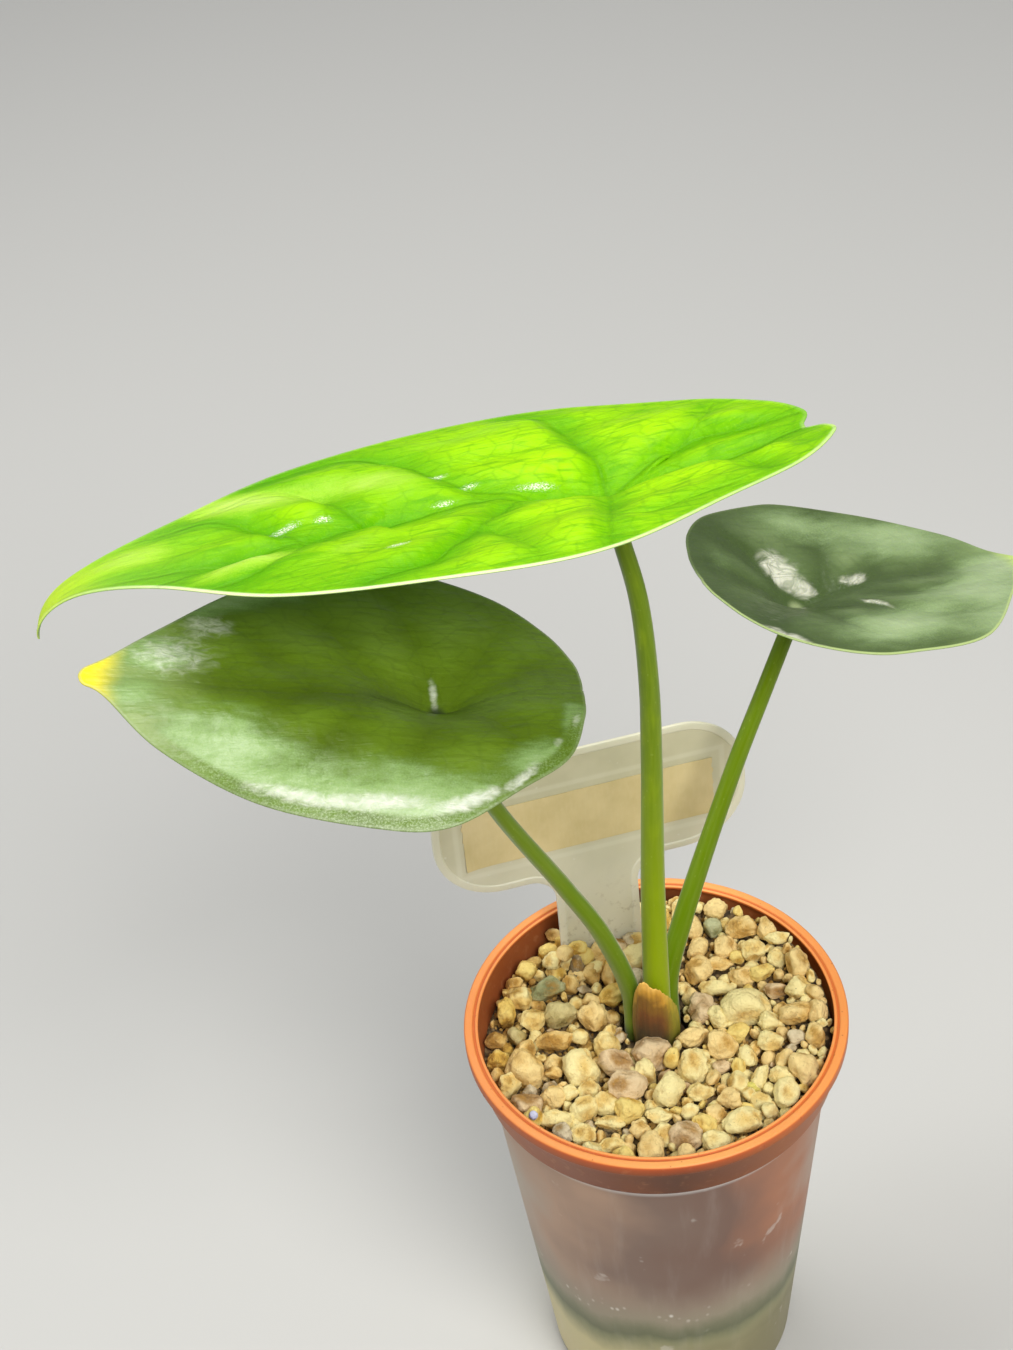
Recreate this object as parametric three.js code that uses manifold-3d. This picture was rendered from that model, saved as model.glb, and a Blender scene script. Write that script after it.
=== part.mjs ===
// A young alocasia with three leaves, in a nursery pot that hangs in a frosted cup of water.
// Units are millimetres. +Z is up, +X to the viewer's right and +Y away from the viewer.
// The origin is the centre of the cup's flat underside.
import * as THREE from 'three';
import { mergeVertices } from 'three/addons/utils/BufferGeometryUtils.js';
import Module from 'manifold-3d';

const wasm = await Module();
wasm.setup();

// Driving dimensions
const GAP = 0.3;
const LIP_HEIGHT = 90;
const LIP_RADIUS = 35;
const SEGMENTS = 48;

// Frosted cup
const CUP_BASE_RADIUS = 23.8;
const CUP_MOUTH_RADIUS = 31.4;
const CUP_HEIGHT = 79.4;
const CUP_WALL = 1;
const CUP_FOOT_FILLET = 1.6;

// Nursery pot: lip, band below the lip, and body inside the cup
const POT_WALL = 0.95;
const POT_FLOOR = 32;
const POT_FLOOR_RADIUS = 22.8;
const POT_LIP_DEPTH = 2.6;
const POT_BAND_TOP_RADIUS = 34.3;
const POT_BAND_BOTTOM_RADIUS = 32.6;
const POT_BAND_BOTTOM = CUP_HEIGHT + GAP;
const POT_SHOULDER_RADIUS = 30.05;
const POT_FLANGE = { radius: 32.4, depth: 0.8 };
const DRAIN_HOLE_RADIUS = 3;
const DRAIN_HOLE_COUNT = 6;
const DRAIN_HOLE_CIRCLE = 16;

const WATER_LEVEL = 29;

// Gravel: a bed whose top rises a little to the right and to the front, with a hollow on the left
// and a bank along the wall that is highest at the given angle
const BED_HEIGHT = 83.4;
const BED_SLOPE_X = 0.035;
const BED_SLOPE_Y = -0.02;
const HOLLOW = { x: -13.5, y: 0, depth: 2.6, spread: 6 };
const BANK = { rise: 5.2, angle: 45, from: 16, to: 31, power: 1.5 };
const BED_SINK = 0.6;
const GRAIN_SEED = 20260;
const GRAIN_CLASSES = [
  { radius: 3.5, tries: 400 },
  { radius: 2.8, tries: 1200 },
];
const GRAIN_SPACING = 0.67;
const GRAIN_RISE = 0.45;
const GRAIN_ROOM = 1.04;

// The most visible stones: place on the bed, half width, half height and the turn, in degrees,
// that lifts the right end
const MARKED_GRAINS = [
  [-24.5, -5, 3.5, 4, 0], [-18.5, 2, 4, 2, 0], [-14.5, -6.5, 3.5, 4.5, 0], [-9, 0, 2.5, 3, 0],
  [-1.7, -4.6, 4, 3.5, 0], [-6.5, -12, 4, 3, -28], [-25.5, -13.5, 3.5, 2.5, 0], [-20, -11.5, 2.5, 2.5, 0],
  [-19, 14, 3.5, 2.5, 0], [-18, 23, 2.5, 1.5, 0], [-10.5, 16.5, 2.5, 2.5, 0], [-11, 10.5, 2, 2, 0],
  [-7, 15.5, 2, 3, 0], [-17.5, 8, 3.5, 2.5, 0], [-27.5, 9, 2, 3.5, 0], [-29.5, 3.5, 2, 2, 0],
  [-25.5, 4, 2, 2, 0], [-20, -17.5, 3, 2, 0], [-10.5, -19.5, 3, 1.5, 0], [-15.5, -21.5, 2.5, 2, 0],
  [-1.5, -19.5, 3, 1.5, 0], [-10.5, -24.5, 2.5, 1.5, 0], [-23, 19, 2.5, 2, 0], [-13.5, 19, 2, 3.5, 0],
  [15, 26, 2.5, 2, 0], [13.5, 22.5, 2, 2, 0], [19, 20.5, 3.5, 2.5, 12], [23.5, 19, 2, 2.5, 0],
  [20, 15.5, 2.5, 2.5, 0], [25, 16, 2.5, 1.5, 0], [15, 18, 2.5, 2.5, 0], [27.5, 9.5, 2.5, 3, 0],
  [13.5, 14.5, 3, 1.5, 0], [21, 10.5, 2.5, 2, 20], [23, 5.5, 2.5, 1.5, 0], [27, 4.5, 2.5, 2.5, 0],
  [12, 9, 3.5, 2, 0], [8.6, 4.6, 3, 3, 0], [17.5, 2.5, 5, 3.5, 0], [26, -1.5, 3.5, 2.5, 0],
  [29.5, -2, 2, 2.5, 0], [28.5, -7.5, 2, 2.5, 0], [25, -6, 2, 1.5, 0], [20.5, -6, 2.5, 2.5, 0],
  [6.2, -2.1, 3.5, 2, 10], [11.5, -5, 3.5, 3, 0], [16, -8.5, 2, 2.5, 0], [21, -14.5, 2.5, 2, 0],
  [26, -15, 2.5, 3.5, 25], [11, -9.5, 2, 1.5, 0], [5.5, -9, 3, 3.5, 0], [1, -14, 3.5, 3.5, 0],
  [13, -14.5, 2, 2.5, 0], [6.5, -15, 2.5, 2, 0], [16.5, -19, 2, 2, 0], [13, -24, 4, 2.5, 15],
  [4, -19, 2, 1.5, 0], [2.5, -25, 3, 3, 0],
];

// Crown: where the leaf stalks leave the rootstock
const CROWN = { x: 0.3, y: 4.2, z: 79, holeRadius: 7.1 };
const CORM_RADIUS = 7.2;
const CORM_DEPTH = 21;
const ROOT_COUNT = 5;
const ROOT_RADIUS = 1.2;

// Papery sheath round the front of the tallest stalk, and its upper edge as angles and heights
const SHEATH = { x: 0.3, y: 2.2, radius: 3.9, drawnIn: 0.05, thickness: 0.6, tear: 0.25 };
const SHEATH_EDGE = [
  [184, 14.5], [196, 16.2], [208, 18.1], [229, 20.2], [241, 20.6], [255, 19.8], [268, 19.3],
  [281, 18.7], [294, 17.6], [310, 15.7], [333, 12.6], [376, 8.5],
];

// Plant label: a tee-shaped tag with a strip of tape on its head
const LABEL = {
  x: -7.8, y: 24.6, headBottom: 104.5, yaw: 12.4, lean: 6, roll: -1.1,
  headWidth: 60, headHeight: 28, cornerRadius: 12.5, stemWidth: 16, filletRadius: 5,
  stemLength: 58, tipLength: 20, thickness: 0.8,
};
const TAPE = { left: -24.3, right: 23.6, bottom: 6.5, top: 19, thickness: 0.3, gap: 0.15 };

// Leaf blades. A blade is drawn flat first, as two half outlines from the tip to the notch,
// in units of the blade's reach (navel to tip) and half width. Veins run from the midrib to
// the margin, and each entry says where a vein leaves the midrib and which outline point it meets.
const BLADE_THICKNESS = 0.7;
const ROWS_PER_VEIN = 4;
const COLUMNS = 6;
const COLUMN_POWER = 1.4;
const VEINS = [
  { midrib: 1.0, margin: 0 },
  { midrib: 0.8, margin: 2.4 },
  { midrib: 0.62, margin: 3.1 },
  { midrib: 0.45, margin: 3.7 },
  { midrib: 0.29, margin: 4.3 },
  { midrib: 0.14, margin: 4.9 },
  { midrib: 0.03, margin: 5.9 },
  { midrib: -0.02, margin: 7.0 },
  { midrib: -0.05, margin: 8.2 },
  { midrib: -0.35, margin: 11 },
];
const VEIN_BOW = -0.04;
const MIDRIB_GROOVE = { depth: 0.6, spread: 1.6 };

// Angles in degrees. arch is the midrib's slope gained over its length, hook the turn at the tip,
// tail the slope of the part behind the navel. Each side's camber is its slope at the midrib and
// the slope gained by the margin. funnel is the dimple at the navel.
const LEAVES = [
  {
    name: '1',
    navel: [-2.7, 0.9, 206.3],
    reach: 90.5,
    halfWidth: 31,
    heading: 182.3,
    pitch: -3.2,
    roll: 12.7,
    arch: 0,
    hook: -87,
    hookPower: 15,
    tail: 16.3,
    camber: { left: [9.6, -3.7], right: [5.5, -5.4] },
    twist: -4,
    sweep: -0.6,
    funnel: { depth: 1.5, spread: 8 },
    quilting: 1.7,
    outline: {
      left: [
        [1, 0], [0.955, 0.04], [0.88, 0.13], [0.75, 0.35], [0.55, 0.77], [0.3, 0.95],
        [0.05, 1], [-0.18, 0.66], [-0.33, 0.49], [-0.4, 0.2], [-0.38, 0.06], [-0.35, 0],
      ],
      right: [
        [1, 0], [0.955, 0.04], [0.88, 0.13], [0.75, 0.36], [0.55, 0.72], [0.3, 0.95],
        [0.05, 1], [-0.17, 0.79], [-0.3, 0.48], [-0.36, 0.2], [-0.35, 0.06], [-0.35, 0],
      ],
    },
    stalk: [
      [0.6, 2.4, 79.3], [1, 2.5, 117], [2, 2.4, 150],
      [2.2, 2, 168], [1.2, 1.2, 185.7], [-0.8, 1, 197],
    ],
    stalkRadii: [2.6, 1.9, 1.35],
  },
  {
    name: '2',
    navel: [-31.6, -20.1, 185.2],
    reach: 53.4,
    halfWidth: 28.5,
    heading: 182,
    pitch: 12.6,
    roll: 13.2,
    arch: -3,
    hook: 5.5,
    hookPower: 6,
    tail: 2,
    camber: { left: [10.7, -53], right: [9.6, 10.4] },
    twist: -7.8,
    sweep: -0.3,
    funnel: { depth: 2.5, spread: 8 },
    quilting: 0.5,
    outline: {
      left: [
        [1, 0], [0.985, 0.07], [0.93, 0.15], [0.78, 0.52], [0.52, 0.84], [0.2, 0.99],
        [0, 0.99], [-0.19, 0.79], [-0.33, 0.6], [-0.39, 0.3], [-0.4, 0.12], [-0.39, 0],
      ],
      right: [
        [1, 0], [0.985, 0.07], [0.93, 0.16], [0.78, 0.42], [0.52, 0.79], [0.2, 0.99],
        [0, 0.99], [-0.21, 0.84], [-0.34, 0.56], [-0.4, 0.3], [-0.4, 0.12], [-0.39, 0],
      ],
    },
    stalk: [
      [-3.5, 5.1, 79.3], [-3.9, 3.9, 92], [-8.5, 0, 112.2], [-14.4, -3.5, 128.3], [-24.4, -11, 155.2],
    ],
    stalkRadii: [1.9, 1.5, 1.25],
  },
  {
    name: '3',
    navel: [30.6, 29.8, 157.8],
    reach: 47.5,
    halfWidth: 24.6,
    heading: 16.2,
    pitch: -18.6,
    roll: -17.5,
    arch: 14,
    hook: -7.2,
    hookPower: 6,
    tail: 13,
    camber: { left: [20.3, 4.3], right: [-0.2, -16.4] },
    twist: -3.3,
    sweep: 1.3,
    funnel: { depth: 2.5, spread: 8 },
    quilting: 0.8,
    outline: {
      left: [
        [1, 0], [0.97, 0.06], [0.9, 0.18], [0.78, 0.47], [0.52, 0.8], [0.2, 1],
        [0, 0.98], [-0.24, 0.82], [-0.37, 0.57], [-0.42, 0.3], [-0.43, 0.1], [-0.43, 0],
      ],
      right: [
        [1, 0], [0.97, 0.06], [0.9, 0.18], [0.78, 0.49], [0.52, 0.94], [0.2, 1],
        [0, 0.98], [-0.26, 0.81], [-0.39, 0.59], [-0.44, 0.3], [-0.44, 0.1], [-0.43, 0],
      ],
    },
    stalk: [[3, 7, 79.3], [3.3, 7.3, 92], [6.6, 9.7, 103.6], [17.6, 19.5, 129.9], [24.1, 25, 143.2]],
    stalkRadii: [2.2, 1.65, 1.4],
  },
];

const { abs, cos, exp, hypot, max, min, sin, PI } = Math;
const rad = THREE.MathUtils.degToRad;
const vec = (x, y, z) => new THREE.Vector3(x, y, z);

// Park-Miller generator: the same draws on every run
function seededRandom(seed) {
  let state = seed;
  return () => {
    state = (state * 16807) % 2147483647;
    return state / 2147483647;
  };
}

// Geometry from points and triangles, turned right side out
function geometryFrom(points, triangles) {
  const geometry = new THREE.BufferGeometry();
  const coordinates = points.flatMap((p) => p.toArray());
  geometry.setAttribute('position', new THREE.Float32BufferAttribute(coordinates, 3));
  let volume = 0;
  for (const [a, b, c] of triangles) {
    volume += points[a].dot(points[b].clone().cross(points[c]));
  }
  const outward = volume > 0 ? triangles : triangles.map(([a, b, c]) => [a, c, b]);
  geometry.setIndex(outward.flat());
  return geometry;
}

// Closed body through rings of equal point counts, with a fan on each end
function loft(rings) {
  const count = rings[0].length;
  const points = rings.flat();
  const triangles = [];
  for (let r = 0; r + 1 < rings.length; r += 1) {
    for (let k = 0; k < count; k += 1) {
      const next = (k + 1) % count;
      const low = r * count;
      const high = low + count;
      triangles.push([low + k, low + next, high + next], [low + k, high + next, high + k]);
    }
  }
  for (const [start, flip] of [[0, true], [(rings.length - 1) * count, false]]) {
    const centre = vec(0, 0, 0);
    for (let k = 0; k < count; k += 1) {
      centre.addScaledVector(points[start + k], 1 / count);
    }
    const hub = points.push(centre) - 1;
    for (let k = 0; k < count; k += 1) {
      const next = start + ((k + 1) % count);
      triangles.push(flip ? [hub, next, start + k] : [hub, start + k, next]);
    }
  }
  return geometryFrom(points, triangles);
}

// Turned body: profile points are [radius, height], and both ends lie on the axis
function turned(profile, segments = SEGMENTS) {
  const lathe = new THREE.LatheGeometry(profile.map(([r, z]) => new THREE.Vector2(r, z)), segments);
  lathe.rotateX(PI / 2);
  return lathe;
}

// Round stalk or root along a smooth curve, its radius eased through the given radii.
// endNormal slants the far end, to lie flat under what it meets.
function taperedTube(points, radii, sides, steps, endNormal = null) {
  const curve = new THREE.CatmullRomCurve3(points);
  const frames = curve.computeFrenetFrames(steps, false);
  const rings = [];
  for (let i = 0; i <= steps; i += 1) {
    const centre = curve.getPointAt(i / steps);
    const place = (i / steps) * (radii.length - 1);
    const band = min(radii.length - 2, Math.floor(place));
    const radius = THREE.MathUtils.lerp(radii[band], radii[band + 1], place - band);
    const ring = [];
    for (let k = 0; k < sides; k += 1) {
      const angle = (2 * PI * k) / sides;
      const point = centre.clone().addScaledVector(frames.normals[i], radius * cos(angle));
      ring.push(point.addScaledVector(frames.binormals[i], radius * sin(angle)));
    }
    rings.push(ring);
  }
  if (endNormal) {
    const centre = curve.getPointAt(1);
    const tangent = curve.getTangentAt(1);
    for (const point of rings[steps]) {
      const lift = point.clone().sub(centre).dot(endNormal) / tangent.dot(endNormal);
      point.addScaledVector(tangent, -lift);
    }
  }
  return loft(rings);
}

// Sheet of even thickness over a grid of points. A row whose points coincide closes to one point.
function thickSheet(grid, thickness) {
  const last = grid.length - 1;
  const width = grid[0].length;
  const closed = (i) => grid[i][0].distanceTo(grid[i][width - 1]) < 1e-6;
  const normals = grid.map((row, i) => row.map((point, j) => {
    const along = grid[min(last, i + 1)][j].clone().sub(grid[max(0, i - 1)][j]);
    const near = closed(i) ? (i === 0 ? 1 : last - 1) : i;
    const across = grid[near][min(width - 1, j + 1)].clone().sub(grid[near][max(0, j - 1)]);
    return across.cross(along).normalize();
  }));
  const points = [];
  const ids = [];
  for (const offset of [thickness / 2, -thickness / 2]) {
    const shifted = (i, j) => points.push(grid[i][j].clone().addScaledVector(normals[i][j], offset)) - 1;
    ids.push(grid.map((row, i) => {
      if (closed(i)) {
        const id = shifted(i, (width - 1) / 2);
        return row.map(() => id);
      }
      return row.map((point, j) => shifted(i, j));
    }));
  }
  const triangles = [];
  const add = (a, b, c) => {
    if (a !== b && b !== c && c !== a) {
      triangles.push([a, b, c]);
    }
  };
  const quad = (a, b, c, d) => {
    add(a, b, c);
    add(a, c, d);
  };
  for (let i = 0; i < last; i += 1) {
    for (let j = 0; j + 1 < width; j += 1) {
      const [top, bottom] = ids;
      quad(top[i][j], top[i][j + 1], top[i + 1][j + 1], top[i + 1][j]);
      add(bottom[i][j], bottom[i + 1][j + 1], bottom[i][j + 1]);
      add(bottom[i][j], bottom[i + 1][j], bottom[i + 1][j + 1]);
    }
    const edge = width - 1;
    quad(ids[0][i][0], ids[0][i + 1][0], ids[1][i + 1][0], ids[1][i][0]);
    quad(ids[0][i][edge], ids[1][i][edge], ids[1][i + 1][edge], ids[0][i + 1][edge]);
  }
  for (const [row, flip] of [[0, false], [last, true]]) {
    for (let j = 0; j + 1 < width; j += 1) {
      const [a, b] = flip ? [j + 1, j] : [j, j + 1];
      if (!closed(row)) {
        quad(ids[0][row][a], ids[1][row][a], ids[1][row][b], ids[0][row][b]);
      }
    }
  }
  return geometryFrom(points, triangles);
}

// Conversions between closed geometries and solids that can be joined and cut
function solidOf(geometry) {
  const bare = geometry.clone();
  bare.deleteAttribute('normal');
  bare.deleteAttribute('uv');
  const merged = mergeVertices(bare, 1e-4);
  return new wasm.Manifold(new wasm.Mesh({
    numProp: 3,
    vertProperties: new Float32Array(merged.attributes.position.array),
    triVerts: new Uint32Array(merged.index.array),
  }));
}

function geometryOf(solid) {
  const mesh = solid.getMesh();
  const geometry = new THREE.BufferGeometry();
  geometry.setAttribute('position', new THREE.BufferAttribute(new Float32Array(mesh.vertProperties), 3));
  geometry.setIndex(new THREE.BufferAttribute(new Uint32Array(mesh.triVerts), 1));
  return geometry;
}

// The main body of a solid, without the loose scraps that a cut leaves
function largestBody(solid) {
  const bodies = solid.decompose();
  return bodies.reduce((best, body) => (body.volume() > best.volume() ? body : best));
}

// Radius of the cup's outside, of the pot body's outside and of the pot's inside at a height
const cupRadius = (z) => THREE.MathUtils.mapLinear(z, 0, CUP_HEIGHT, CUP_BASE_RADIUS, CUP_MOUTH_RADIUS);
const bodyRadius = (z) => THREE.MathUtils.mapLinear(
  z, POT_FLOOR, POT_BAND_BOTTOM, POT_FLOOR_RADIUS, POT_SHOULDER_RADIUS);
const bandRadius = (z) => THREE.MathUtils.mapLinear(
  z, POT_BAND_BOTTOM, LIP_HEIGHT - POT_LIP_DEPTH, POT_BAND_BOTTOM_RADIUS, POT_BAND_TOP_RADIUS);
const POT_INNER_STEP = POT_BAND_BOTTOM + 1.4;
const potInside = (z) => (z < POT_INNER_STEP ? bodyRadius(z) : bandRadius(z)) - POT_WALL;

function outerCup() {
  const inside = (z) => cupRadius(z) - CUP_WALL;
  const fillet = CUP_FOOT_FILLET;
  return turned([
    [0, 0],
    [CUP_BASE_RADIUS - fillet, 0],
    [CUP_BASE_RADIUS - fillet * 0.3, fillet * 0.3],
    [cupRadius(fillet), fillet],
    [cupRadius(CUP_HEIGHT), CUP_HEIGHT],
    [inside(CUP_HEIGHT), CUP_HEIGHT],
    [inside(fillet + CUP_WALL), fillet + CUP_WALL],
    [inside(0) - fillet, CUP_WALL],
    [0, CUP_WALL],
  ]);
}

function reservoirWater() {
  const inside = (z) => cupRadius(z) - CUP_WALL - GAP;
  const low = CUP_WALL + GAP;
  const fillet = CUP_FOOT_FILLET;
  return turned([
    [0, low],
    [inside(0) - fillet, low],
    [inside(fillet + low), fillet + low],
    [inside(WATER_LEVEL), WATER_LEVEL],
    [0, WATER_LEVEL],
  ]);
}

function innerPot() {
  const lipLow = LIP_HEIGHT - POT_LIP_DEPTH;
  const flangeLow = LIP_HEIGHT - POT_FLANGE.depth;
  let pot = solidOf(turned([
    [0, POT_FLOOR],
    [POT_FLOOR_RADIUS - 1.2, POT_FLOOR],
    [bodyRadius(POT_FLOOR + 1.2), POT_FLOOR + 1.2],
    [POT_SHOULDER_RADIUS, POT_BAND_BOTTOM],
    [POT_BAND_BOTTOM_RADIUS, POT_BAND_BOTTOM],
    [POT_BAND_TOP_RADIUS, lipLow],
    [LIP_RADIUS - 0.15, lipLow + 0.5],
    [LIP_RADIUS, LIP_HEIGHT - 0.8],
    [LIP_RADIUS - 0.5, LIP_HEIGHT],
    [POT_FLANGE.radius, LIP_HEIGHT],
    [POT_FLANGE.radius, flangeLow],
    [potInside(flangeLow), flangeLow],
    [potInside(POT_INNER_STEP), POT_INNER_STEP],
    [bodyRadius(POT_BAND_BOTTOM) - POT_WALL, POT_BAND_BOTTOM],
    [bodyRadius(POT_FLOOR + 2) - POT_WALL, POT_FLOOR + 2],
    [POT_FLOOR_RADIUS - POT_WALL - 1.2, POT_FLOOR + POT_WALL],
    [0, POT_FLOOR + POT_WALL],
  ]));
  for (let k = 0; k <= DRAIN_HOLE_COUNT; k += 1) {
    const angle = (2 * PI * k) / DRAIN_HOLE_COUNT;
    const circle = k === DRAIN_HOLE_COUNT ? 0 : DRAIN_HOLE_CIRCLE;
    const hole = new THREE.CylinderGeometry(DRAIN_HOLE_RADIUS, DRAIN_HOLE_RADIUS, 4 * POT_WALL, 12);
    hole.rotateX(PI / 2);
    hole.translate(circle * cos(angle), circle * sin(angle), POT_FLOOR);
    pot = pot.subtract(solidOf(hole));
  }
  return geometryOf(pot);
}

// Corm with a few thick roots. grow widens every radius, for the hollow that it stands in.
function rootstock(grow = 0) {
  const profile = [
    [0, -CORM_DEPTH - grow],
    [CORM_RADIUS * 0.45 + grow, -CORM_DEPTH + 0.6 - grow],
    [CORM_RADIUS * 0.85 + grow, -CORM_DEPTH * 0.72],
    [CORM_RADIUS + grow, -CORM_DEPTH * 0.42],
    [CORM_RADIUS * 0.92 + grow, -CORM_DEPTH * 0.12],
    [CORM_RADIUS * 0.8 + grow, 0],
    [0, 0],
  ];
  let solid = solidOf(turned(profile, 20));
  for (let k = 0; k < ROOT_COUNT; k += 1) {
    const angle = (2 * PI * k) / ROOT_COUNT + 0.4;
    const reach = [1.8, 7.5, 11.5 + grow];
    const drop = [-CORM_DEPTH + 3, -CORM_DEPTH - 4, -CORM_DEPTH - 13 - grow];
    const route = reach.map((r, n) => {
      const turn = angle + 0.15 * n;
      return vec(r * cos(turn), r * sin(turn), drop[n]);
    });
    const radii = [ROOT_RADIUS, ROOT_RADIUS * 0.8, ROOT_RADIUS * 0.45].map((r) => r + grow);
    solid = solid.add(solidOf(taperedTube(route, radii, 6, 5)));
  }
  return solid.translate([CROWN.x, CROWN.y, CROWN.z - GAP]);
}

function bedHeight(x, y) {
  const away = hypot(x - HOLLOW.x, y - HOLLOW.y) / HOLLOW.spread;
  const facing = (1 + cos(Math.atan2(y, x) - rad(BANK.angle))) / 2;
  const outward = THREE.MathUtils.clamp((hypot(x, y) - BANK.from) / (BANK.to - BANK.from), 0, 1);
  const bank = BANK.rise * facing ** 2 * outward ** BANK.power;
  return BED_HEIGHT + BED_SLOPE_X * x + BED_SLOPE_Y * y + bank - HOLLOW.depth * exp(-away * away / 2);
}

// Radius that grains may fill at a height: the flange narrows the top
function grainRoom(z, r) {
  const underFlange = z + r < LIP_HEIGHT - POT_FLANGE.depth - GAP;
  return (underFlange ? potInside(z) : POT_FLANGE.radius) - GAP - GRAIN_ROOM * r;
}

// A marked stone, slid inwards where it would touch the wall
function markedGrain([x, y, halfWidth, halfHeight, lift]) {
  const r = max(halfWidth, halfHeight);
  const z = bedHeight(x, y) + GRAIN_RISE * r;
  const share = min(1, grainRoom(z, r) / hypot(x, y));
  const squash = [halfWidth / r, halfHeight / r, halfHeight / r];
  return { x: x * share, y: y * share, z, r, turn: [0, -rad(lift), 0], squash };
}

// Grain places: the marked ones, then random ones, the widest first, each kept clear of the wall,
// the crown's hole and its neighbours
function grainPlaces() {
  const random = seededRandom(GRAIN_SEED);
  const places = MARKED_GRAINS.map(markedGrain);
  for (const { radius, tries } of GRAIN_CLASSES) {
    for (let n = 0; n < tries; n += 1) {
      const r = radius * (0.88 + 0.24 * random());
      const angle = 2 * PI * random();
      const out = 32 * Math.sqrt(random());
      const turn = [random(), random(), random()].map((part) => 2 * PI * part);
      const squash = [1, 0.72 + 0.24 * random(), 0.62 + 0.24 * random()];
      const x = out * cos(angle);
      const y = out * sin(angle);
      const z = bedHeight(x, y) + GRAIN_RISE * r;
      const inPot = out < grainRoom(z, r);
      const clearOfCrown = hypot(x - CROWN.x, y - CROWN.y) > CROWN.holeRadius + 0.6 * r;
      const clear = places.every((p) => hypot(x - p.x, y - p.y) > GRAIN_SPACING * (r + p.r));
      if (inPot && clearOfCrown && clear) {
        places.push({ x, y, z, r, turn, squash });
      }
    }
  }
  return places;
}

function grain({ x, y, z, r, turn, squash }) {
  const shape = new THREE.IcosahedronGeometry(r, 0);
  shape.scale(...squash);
  shape.rotateX(turn[0]);
  shape.rotateY(turn[1]);
  shape.rotateZ(turn[2]);
  shape.translate(x, y, z);
  return solidOf(shape);
}

function circleRing(radius, heightAt) {
  const ring = [];
  for (let k = 0; k < SEGMENTS; k += 1) {
    const angle = (2 * PI * k) / SEGMENTS;
    const x = radius * cos(angle);
    const y = radius * sin(angle);
    ring.push(vec(x, y, heightAt(x, y)));
  }
  return ring;
}

function substrate() {
  const floor = POT_FLOOR + POT_WALL + GAP;
  const wall = (z) => potInside(z) - GAP;
  const top = (x, y) => bedHeight(x, y) - BED_SINK;
  const edge = wall(POT_INNER_STEP + 1);
  const rings = [
    circleRing(wall(floor + 1) - 1.6, () => floor),
    circleRing(wall(floor + 1), () => floor + 1.2),
    circleRing(wall(POT_BAND_BOTTOM), () => POT_BAND_BOTTOM),
    circleRing(edge, () => POT_INNER_STEP + 0.4),
    circleRing(edge, top),
  ];
  for (const part of [0.8, 0.6, 0.3]) {
    rings.push(circleRing(edge * part, top));
  }
  let bed = wasm.Manifold.union([solidOf(loft(rings)), ...grainPlaces().map(grain)]);
  const crownDepth = LIP_HEIGHT - CROWN.z + 2 * GAP;
  const crownHole = new THREE.CylinderGeometry(CROWN.holeRadius, CROWN.holeRadius, crownDepth, 28);
  crownHole.rotateX(PI / 2);
  crownHole.translate(CROWN.x, CROWN.y, LIP_HEIGHT - crownDepth / 2);
  bed = bed.subtract(solidOf(crownHole)).subtract(rootstock(GAP));
  return geometryOf(largestBody(bed.subtract(solidOf(labelBody(GAP)))));
}

// Plant label, drawn upright with its head's lower edge at height 0. grow widens it on all sides.
function labelBody(grow = 0) {
  const half = LABEL.headWidth / 2;
  const stem = LABEL.stemWidth / 2 + grow;
  const corner = LABEL.cornerRadius;
  const fillet = LABEL.filletRadius;
  const shape = new THREE.Shape();
  shape.moveTo(0, -LABEL.stemLength - grow);
  shape.lineTo(stem, -LABEL.stemLength + LABEL.tipLength);
  shape.lineTo(stem, -fillet);
  shape.absarc(stem + fillet, -fillet, fillet, PI, PI / 2, true);
  shape.absarc(half - corner, corner, corner, -PI / 2, 0, false);
  shape.absarc(half - corner, LABEL.headHeight - corner, corner, 0, PI / 2, false);
  shape.absarc(corner - half, LABEL.headHeight - corner, corner, PI / 2, PI, false);
  shape.absarc(corner - half, corner, corner, PI, 1.5 * PI, false);
  shape.absarc(-stem - fillet, -fillet, fillet, PI / 2, 0, true);
  shape.lineTo(-stem, -LABEL.stemLength + LABEL.tipLength);
  shape.closePath();
  const depth = LABEL.thickness + 2 * grow;
  const body = new THREE.ExtrudeGeometry(shape, { depth, bevelEnabled: false, curveSegments: 6 });
  body.translate(0, 0, -depth / 2);
  return placeOnLabel(body);
}

function labelTape() {
  const width = TAPE.right - TAPE.left;
  const height = TAPE.top - TAPE.bottom;
  const tape = new THREE.BoxGeometry(width, height, TAPE.thickness);
  const front = LABEL.thickness / 2 + TAPE.gap + TAPE.thickness / 2;
  tape.translate((TAPE.left + TAPE.right) / 2, (TAPE.bottom + TAPE.top) / 2, front);
  return placeOnLabel(tape);
}

// Stands a shape drawn in the label's own plane (front face towards +Z) in its place in the pot
function placeOnLabel(geometry) {
  geometry.rotateZ(rad(LABEL.roll));
  geometry.rotateX(PI / 2 - rad(LABEL.lean));
  geometry.rotateZ(rad(LABEL.yaw));
  geometry.translate(LABEL.x, LABEL.y, LABEL.headBottom);
  return geometry;
}

function sheathHeight(angle) {
  const next = max(1, SHEATH_EDGE.findIndex(([at]) => at >= angle));
  const [[from, low], [to, high]] = [SHEATH_EDGE[next - 1], SHEATH_EDGE[next]];
  return THREE.MathUtils.mapLinear(angle, from, to, low, high) + SHEATH.tear * sin(8.3 * rad(angle));
}

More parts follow.
